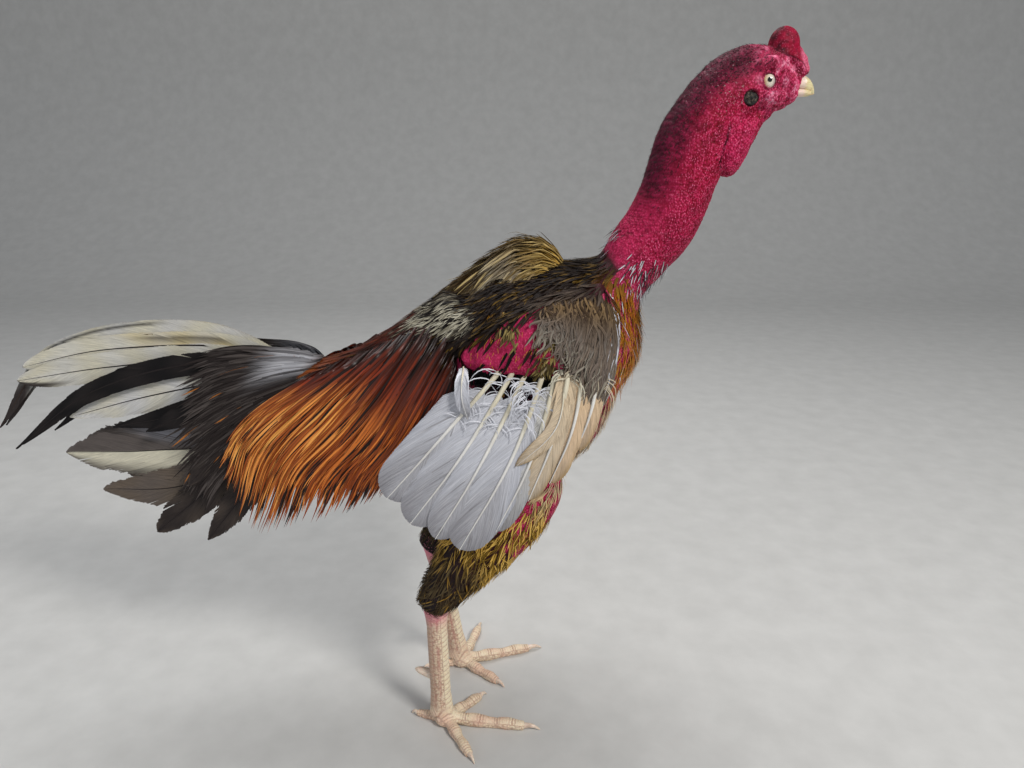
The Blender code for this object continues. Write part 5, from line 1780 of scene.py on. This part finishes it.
def wing_piece(label, sign, material):
    """Quills that hang from the bare arm, with small feathers and a tuft of curled barbs over them."""
    batch = Batch()
    rng = np.random.default_rng(SEED + 50)
    small = tuple((row[7], 1.0, 5.5 + 0.4 * i, 0.02) for i, row in enumerate(SMALL_FLIGHTS))
    vanes = zip(FLIGHTS + SMALL_FLIGHTS, FLIGHT_VANES + small)
    for index, (row, (kind, wider, layer, bare)) in enumerate(vanes):
        large = index < len(FLIGHTS)
        outer = FLIGHT_Y + FLIGHT_STEP * layer
        offsets = (ARM_Y + 0.006, outer - 0.001, outer, outer - 0.003)
        y = np.interp(np.linspace(0, 1, 24), (0, 0.2, 0.7, 1), offsets)
        path = beside(curve(np.array((row[0:2], row[2:4], row[4:6])), 24), y * sign)
        shape = {**FLIGHT_SHAPE, "blunt": 0.95 if large else 0.5, "quill": 0.0024 if large else 0.0008}
        shape["bare"] = bare
        paint, cell = flight_paint(kind, index), cell_of(index, 4, 4)
        plume(batch, path, (0, sign, 0), row[6] * wider, paint, SEED + 60 + index, cell, shape)
        if large:
            loose_barbs(batch, path, sign, rng, 22 if kind == "white" else 14, (0.08, bare + 0.06), kind)
    path = beside(curve(np.array(CURLS), 24), (FLIGHT_Y + 0.006) * sign)
    loose_barbs(batch, path, sign, rng, 38, (0.1, 1.0), "white")
    return batch.piece("flight_feathers_" + label, material, "flight_feathers", "wing_" + label)


def loose_barbs(batch, path, sign, rng, count, span, kind):
    """Single barbs on both sides of a quill's foot, which curl away from it."""
    stations = 7
    at = rng.uniform(*span, count)
    start, ahead = read_at(path, at), read_at(unit(np.gradient(path, axis=0)), at)
    out = np.array((0, sign, 0.0))
    side = unit(np.cross(out, ahead)) * rng.choice((-1.0, 1.0), count)[:, None]
    reach = rng.uniform(0.009, 0.022, count)[:, None, None]
    bow = rng.uniform(0.2, 1.3, count)[:, None, None]
    u = np.linspace(0, 1, stations)[None, :, None]
    paths = start[:, None] + reach * (side[:, None] * np.sin(1.9 * u) * 0.75 + ahead[:, None] * bow * u**2)
    paths = paths + out * reach * 0.18 * np.sin(math.pi * u)
    outs = np.broadcast_to(unit(out + rng.normal(0, 0.3, (count, 1, 3))), paths.shape)
    widths = slender(count, stations, 0.00025, 0.00050, rng, 0.3, 0.8)
    tones = rng.uniform(0, 1, count)
    shade = np.tile(BARB_SHADES[kind], (count, 1))
    blades(batch, paths, outs, widths, fade(shade, shade * 0.9, stations), tones, unwrap(start))


def shoulder_piece(skin, material):
    """Soft brown-grey feathers that hang over the shoulder, and the small tufts along the arm."""
    rng = np.random.default_rng(SEED + 6)
    batch = Batch()
    count, stations = 1000, 9
    u = np.linspace(0, 1, stations)[None]
    for _, sign in SIDES:
        across = 4 * rng.uniform(0, 1, count) ** 1.35
        layer = rng.uniform(0, 1, count)
        start = np.interp(across, (0, 1.2, 4), (0.68, 0.62, 0.45)) * layer**1.5 + rng.uniform(0, 0.10, count)
        end = start + rng.uniform(0.22, 0.50, count)
        run = start[:, None] + (end - start)[:, None] * u
        sway = rng.normal(0, 0.42, count)[:, None] * u + rng.normal(0, 0.16, count)[:, None] * np.sin(u * 6)
        lane = across[:, None] + sway
        flat = fan(SHOULDER, np.clip(lane, 0, 4), run)
        flat[..., 0] -= 0.014 * np.clip(lane - 3.9, 0, 2)
        over = np.interp(across, (0, 1.6, 2.4), (0.010, 0.008, 0.0))[:, None] * step_up(run, 0.45, 0.75)
        rise = 0.0015 + 0.0040 * (1 - layer) + rng.uniform(0, 0.002, count)
        lift = rise[:, None] * np.clip(u / 0.3, 0.2, 1)
        paths, outs = hung(skin, flat, sign, lift + over, 0.0)
        tones = rng.uniform(0, 1, count)
        dye = shoulder_colours(across, run, tones)
        outs = unit(outs + rng.normal(0, 0.25, (count, 1, 3)) * (1, 0, 1))
        widths = slender(count, stations, 0.0005, 0.0012, rng, 0.3, 0.7)
        blades(batch, paths, outs, widths, dye, tones, unwrap(paths[:, 1]))
        arm_down(skin, batch, rng, sign)
    return batch.piece("shoulder_feathers", material, "flight_feathers")


def shoulder_colours(across, run, tones):
    """Brown on top, grey dun below with some creamy ends, and a few white feathers at the breast."""
    shade = tones[:, None]
    top = 1 - step_up(run + 0.12 * shade, 0.22, 0.60)
    brown = mix(mix(UMBER, BROWN, 0.8), mix(DUN, GOLD, 0.30), tones**1.5)
    dye = mix(mix(DUN, SLATE, shade + 0 * run) * 1.3, brown[:, None], top * 0.95)
    dye = mix(dye, mix(DUN, CREAM, 0.5), step_up(run, 0.3, 0.9) * (shade > 0.65) * 0.8)
    pale = ((across < 0.30) & (tones > 0.80))[:, None, None]
    return np.where(pale, WHITE * 0.9, dye)


def arm_down(skin, batch, rng, sign):
    """Black stubs where the quills leave the arm, and small tufts and golden hairs on its bare skin."""
    count, stations = 420, 5
    kind = rng.uniform(0, 1, count)
    tuft = rng.integers(0, len(ARM_TUFTS), count)
    spots = np.array(ARM_TUFTS)[tuft]
    spread = rng.normal(0, 0.45, (count, 2))
    x = spots[:, 0] + spots[:, 2] * spread[:, 0]
    z = spots[:, 1] + spots[:, 3] * spread[:, 1]
    stub = kind < 0.45
    x = np.where(stub, rng.uniform(0.086, 0.160, count), x)
    z = np.where(stub, 0.373 + rng.normal(0, 0.0022, count), z)
    hair = kind > 0.85
    x = np.where(hair, rng.uniform(0.085, 0.160, count), x)
    z = np.where(hair, rng.uniform(0.378, 0.425, count), z)
    length = np.where(stub, 0.012, np.where(hair, 0.006, 0.013)) * rng.uniform(0.6, 1.2, count)
    u = np.linspace(0, 1, stations)[None]
    lean = rng.normal(-0.35, 0.35, count)
    flat = np.stack([x[:, None] + (length * lean)[:, None] * u, z[:, None] - length[:, None] * u], -1)
    lift = rng.uniform(0.001, 0.003, count)[:, None] * u
    paths, outs = hung(skin, flat, sign, lift, 0.0)
    tones = rng.uniform(0, 1, count)
    brown = mix(BROWN, mix(OLIVE, STRAW, 0.5 * tones), tones)
    dye = np.where(stub[:, None], BLACK, np.where(hair[:, None], mix(GOLD, ORANGE, 0.3), brown))
    size = np.where(hair, 0.0002, 0.0009)[:, None] * outline(np.linspace(0, 1, stations), 0.2, 0.7)[None]
    blades(batch, paths, outs, size, fade(dye, dye * 0.9, stations), tones, unwrap(paths[:, 0]))


def cape_piece(material):
    """The fluffy golden-brown tuft left at the foot of the bare neck."""
    rng = np.random.default_rng(SEED + 3)
    batch = Batch()
    count, stations = 3200, 9
    across = np.clip(rng.normal(0, 0.55, count), -1, 1)
    tier = rng.uniform(0, 3.6, count)
    u = np.linspace(0, 1, stations)[None]
    length = (rng.uniform(0.020, 0.046, count) * np.interp(tier, (0, 1, 3), (1.15, 1.1, 0.9)))[:, None]
    x = (0.168 - 0.026 * tier)[:, None] - length * u
    y = (across * 0.036)[:, None] * (0.75 + 0.45 * u) + rng.normal(0, 0.0050, count)[:, None] * u
    sunk = rng.uniform(0.0, 0.010, count)[:, None] + 0.007 * (1 - u) ** 2
    z = np.interp(x, CAPE_TOP[0], CAPE_TOP[1]) - sunk - 26 * y**2 - 0.006 * np.abs(across)[:, None]
    z = z + rng.normal(0, 0.0030, count)[:, None] * u**1.5
    paths = np.stack([x, y, z], -1)
    outs = unit(np.column_stack([np.full(count, 0.1), across * 0.7, np.ones(count)]))[:, None]
    tones = rng.uniform(0, 1, count)
    yellow = mix(GOLD, STRAW, tones)
    brown = mix(mix(OLIVE, DUN, 0.30), mix(BROWN, UMBER, 0.4), np.clip(tones + 0.15 * tier - 0.2, 0, 1))
    body = np.where((tones > 0.86)[:, None], mix(DUN, STRAW, 0.55), brown)
    flank = step_up(np.abs(across), 0.12, 0.5)
    body = mix(body, mix(DUN, CREAM, tones), 0.7 * flank * bell(tier, 1.3, 0.6))
    root = mix(body, yellow * 1.4, (1 - step_up(tier, 0.3, 1.2)) * (0.25 + 0.75 * flank))
    dye = fade(root, body, stations, 0.6)
    dye = mix(dye, mix(OLIVE, GOLD, 0.45), np.where(x > 0.10, 0.35, 0.1) * tones[:, None])
    outs = unit(outs + rng.normal(0, 0.25, (count, 1, 3)))
    widths = slender(count, stations, 0.0006, 0.0014, rng, 0.3, 0.6)
    outs = np.broadcast_to(outs, paths.shape)
    blades(batch, paths, outs, widths, dye, tones, unwrap(paths[:, 0]))
    return batch.piece("cape_feathers", material, "cape_feathers", "cape")


def body_piece(skin, material):
    """Short wiry feathers of the back, breast, belly and thighs."""
    rng = np.random.default_rng(SEED + 4)
    batch = Batch()
    count, stations = 24000, 5
    roots, normals = skin.roots(count, body_cover(skin.centres), rng)
    station, angle = trunk_place(roots)
    _, _, ahead = trunk_point(station, angle)
    up = np.sin(angle)
    low = (roots[:, 2] < 0.25) & (roots[:, 0] < 0.15)
    high = (roots[:, 2] > 0.36) & (up > -0.2)
    headings = -ahead + np.array((0, 0, -0.7)) * (1 - np.abs(normals[:, 2:3]))
    down_leg = unit(np.array(LEGS["right"]["hock"]) - np.array(LEGS["right"]["knee"]))
    headings = np.where(low[:, None], down_leg * (1, 0, 1), headings)
    headings = np.where((up > 0.1)[:, None], -ahead + np.array((0, 0, -0.25)), headings)
    headings = headings + rng.normal(0, 0.17, (count, 3))
    headings = np.where(high[:, None], headings + np.array((0, 0, -0.35)), headings)
    headings = headings + 0.5 * np.sin(roots[:, [1, 2, 0]] * 300) * (low | (up < 0))[:, None]
    lengths = rng.uniform(0.009, 0.022, count) * np.where(high, 1.4, 1.2)
    paths, outs = laid(skin, roots, normals, headings, lengths, stations, rng.uniform(0.0010, 0.0045, count))
    tones = rng.uniform(0, 1, count)
    widths = slender(count, stations, 0.0005, 0.0013, rng, 0.2, 0.6) * np.where(high, 1.25, 0.65)[:, None]
    base = body_colours(roots, up, tones)
    dye = fade(base * 0.55, base * 1.1, stations)
    blades(batch, paths, outs, widths, dye, tones, unwrap(roots), across=2)
    return batch.piece("body_feathers", material, "body_feathers")


def body_cover(points):
    """How densely the body is feathered: the bare patches of the side view stay open."""
    station, _ = trunk_place(points)
    x, y, z = points.T
    side = np.abs(y)
    cover = np.where(side > 0.042, 1.0, 1 - step_up(station, 7.8, 8.6)) * (z < 0.475)
    below_edge = z < np.interp(x, *ARM_EDGE) + 0.004 * noise(points, 0.012, 17)
    arm = (side > 0.060) & (x > 0.074) & (x < 0.168) & (z > 0.362) & below_edge
    cover = cover * np.where(arm, 0.02, 1.0)
    far_hock = (y > 0) & (z < 0.163)
    cover = cover * np.where(far_hock, 0.0, 1.0)
    for where in FLANK_BARE + BELLY_BARE + (UNDER_QUILLS,):
        cover = cover * (1 - 0.97 * patch(points, where))
    cover = cover * (1 - 0.65 * patch(points, BREAST_FRONT))
    cover = cover * np.where((x < 0.02) & (z > 0.26), 0.45, 1.0)
    back = (z > 0.36) & (x > 0.0)
    return cover * np.where(z < 0.26, 1.2, np.where(back, 3.0, 1.0))


def body_colours(points, up, tones):
    """Dark brown with pale patches on the back, gold and olive on the belly, dark olive on the thighs."""
    x, y, z = points.T
    gold = mix(GOLD, mix(GOLD, STRAW, 0.5), tones)
    colours = mix(mix(OLIVE, GOLD, 0.25), gold * 1.4, step_up(tones, 0.20, 0.60))
    breast = step_up(x, 0.125, 0.155) * step_up(z, 0.235, 0.275) * (up < 0.2)
    colours = mix(colours, mix(PEACH, CREAM, tones), breast * 0.8)
    back = mix(SOOT * 0.4, mix(UMBER, BROWN, 0.6) * 0.8, tones)
    back = mix(back, mix(OLIVE, GOLD, 0.3), 0.55 * step_up(tones, 0.78, 0.97))
    colours = mix(colours, back, np.maximum(step_up(up, -0.1, 0.25), step_up(z, 0.37, 0.40)))
    shoulder = step_up(np.abs(y), 0.040, 0.052) * step_up(x, 0.130, 0.155) * step_up(z, 0.395, 0.42)
    colours = mix(colours, mix(UMBER, mix(BROWN, DUN, 0.55), tones), shoulder)
    colours = mix(colours, mix(GOLD, ORANGE, tones), patch(points, BREAST_FRONT) * 0.9)
    pale = mix(OLIVE, CREAM * 0.75, 0.2 + 0.8 * tones)
    for where in BACK_PALE:
        colours = mix(colours, pale, patch(points, where) * (tones > 0.35))
    rear = 1 - step_up(x, -0.02, 0.05)
    colours = mix(colours, COAL, rear * (1 - step_up(up, 0.2, 0.5)))
    muff = (1 - step_up(z, 0.185, 0.215)) * (1 - step_up(x, 0.085, 0.105))
    dark = mix(mix(UMBER, BROWN, 0.7), mix(DUN, OLIVE, 0.7) * 1.2, tones)
    dark = mix(dark, GOLD, 0.5 * (tones > 0.92))
    return mix(colours, dark, muff)


def stubble_piece(skin, material):
    """Dark bristles of the crown and nape, pin quills at the foot of the neck and wisps on the breast."""
    rng = np.random.default_rng(SEED + 7)
    batch = Batch()
    stations = 4
    station, angle = trunk_place(skin.centres)
    up = np.sin(angle)
    crown = step_up(up, 0.25, 0.7) * step_up(station, 10.0, 12.5) * (skin.centres[:, 0] < 0.3345)
    foot = between(station, 8.1, 8.5, 9.0, 9.7) * np.clip(0.3 - up, 0, 1)
    foot = foot + 0.5 * between(station, 8.3, 8.7, 9.2, 9.6) * (up > 0.75)
    front = patch(skin.centres, BREAST_FRONT) * (station < 8.6)
    for cover, count, longest, half, dark, pale in (
        (crown, 3600, 0.0042, 0.00030, BLACK, SOOT),
        (foot, 240, 0.0150, 0.00055, BLACK, WHITE),
        (front, 700, 0.0190, 0.00035, GOLD, ORANGE),
        (front, 90, 0.0220, 0.00060, COAL, WHITE),
    ):
        roots, normals = skin.roots(count, cover, rng)
        _, _, ahead = trunk_point(*trunk_place(roots))
        headings = -ahead + rng.normal(0, 0.25, (count, 3)) + np.array((0, 0, -0.3))
        lengths = longest * rng.uniform(0.45, 1.0, count)
        lift = lengths * rng.uniform(0.15, 0.50, count)
        paths, outs = laid(skin, roots, normals, headings, lengths, stations, lift)
        tones = rng.uniform(0, 1, count)
        tips = mix(dark, pale, step_up(tones, 0.3, 0.6))
        dye = fade(mix(dark, pale, tones * 0.5), tips, stations)
        widths = slender(count, stations, half * 0.7, half, rng, 0.2, 0.9)
        blades(batch, paths, outs, widths, dye, tones, unwrap(roots))
    return batch.piece("pin_feathers", material, "body_feathers")


# Stage


def stage():
    """A floor that curves up into a plain backdrop."""
    run = np.concatenate([[-4.0], 2.2 + 1.2 * np.sin(np.linspace(0, math.pi / 2, 24)), [3.4]])
    rise = np.concatenate([[0.0], 1.2 - 1.2 * np.cos(np.linspace(0, math.pi / 2, 24)), [5.0]])
    points = [(x, y, z) for y, z in zip(run, rise) for x in (-7.0, 7.0)]
    floor = from_arrays("floor", np.array(points), grid_faces(1, len(run), 2))
    look = Look("floor", Roughness=0.8)
    grain = look.noise(24.0, 4.0)
    colour = look.blend(ink("cfcecb"), ink("c6c5c2"), look.fit(grain, 0.3, 0.7))
    floor.data.materials.append(look.finish(Base_Color=colour))
    world = bpy.data.worlds.new("studio")
    world.use_nodes = True
    world.node_tree.nodes["Background"].inputs["Color"].default_value = (0.90, 0.94, 1.0, 1)
    world.node_tree.nodes["Background"].inputs["Strength"].default_value = 0.31
    bpy.context.scene.world = world
    bpy.context.scene.view_settings.view_transform = "Standard"


def lamp(name, place_at, aim, size, power, colour=(1, 1, 1)):
    data = bpy.data.lights.new(name, "AREA")
    data.shape = "DISK"
    data.size = size
    data.energy = power
    data.color = colour
    light = bpy.data.objects.new(name, data)
    light.location = place_at
    light.rotation_euler = (Vector(aim) - Vector(place_at)).to_track_quat("-Z", "Y").to_euler()
    bpy.context.scene.collection.objects.link(light)


def lights():
    lamp("key", (1.3, -1.5, 1.9), (0.05, 0, 0.35), 0.6, 38, (1.0, 0.98, 0.95))
    lamp("fill", (-1.6, -1.5, 1.0), (-0.05, 0, 0.3), 1.6, 7, (0.92, 0.95, 1.0))
    lamp("top", (-0.1, 0.6, 2.0), (0, 0, 0.3), 1.2, 17)


def camera():
    data = bpy.data.cameras.new("camera")
    data.sensor_width = SENSOR
    data.lens = SENSOR * FOCAL_SHARE
    data.clip_start = 0.01
    made = bpy.data.objects.new("camera", data)
    made.location = CAMERA_AT
    made.rotation_euler = (math.pi / 2 - CAMERA_PITCH, 0, 0)
    bpy.context.scene.collection.objects.link(made)
    bpy.context.scene.camera = made


def build():
    camera()
    stage()
    lights()
    skin_object = skin_piece()
    eye_pieces()
    ear_pieces()
    beak_pieces()
    leg_material = leg_look()
    claw_material = horn_look("claw_horn", ink("ecd8c4"), ink("b89a84"))
    for label, sign in SIDES:
        leg_piece(label, leg_material)
        claw_pieces(label, sign, claw_material)
    skin = Skin(skin_object)
    glossy = feather_look("hackle_gloss", 0.30, 0.48, 0.30, 0.7, 0.75)
    vane = feather_look("vane", 0.42, 0.62, 0.18, 0.45)
    soft = feather_look("soft_feather", 0.50, 0.75, 0.12, 0.6, 0.4)
    saddle_piece(skin, glossy)
    tail_piece(vane)
    covert_piece(skin, soft)
    for label, sign in SIDES:
        wing_piece(label, sign, vane)
    shoulder_piece(skin, soft)
    cape_piece(soft)
    body_piece(skin, soft)
    stubble_piece(skin, soft)


build()
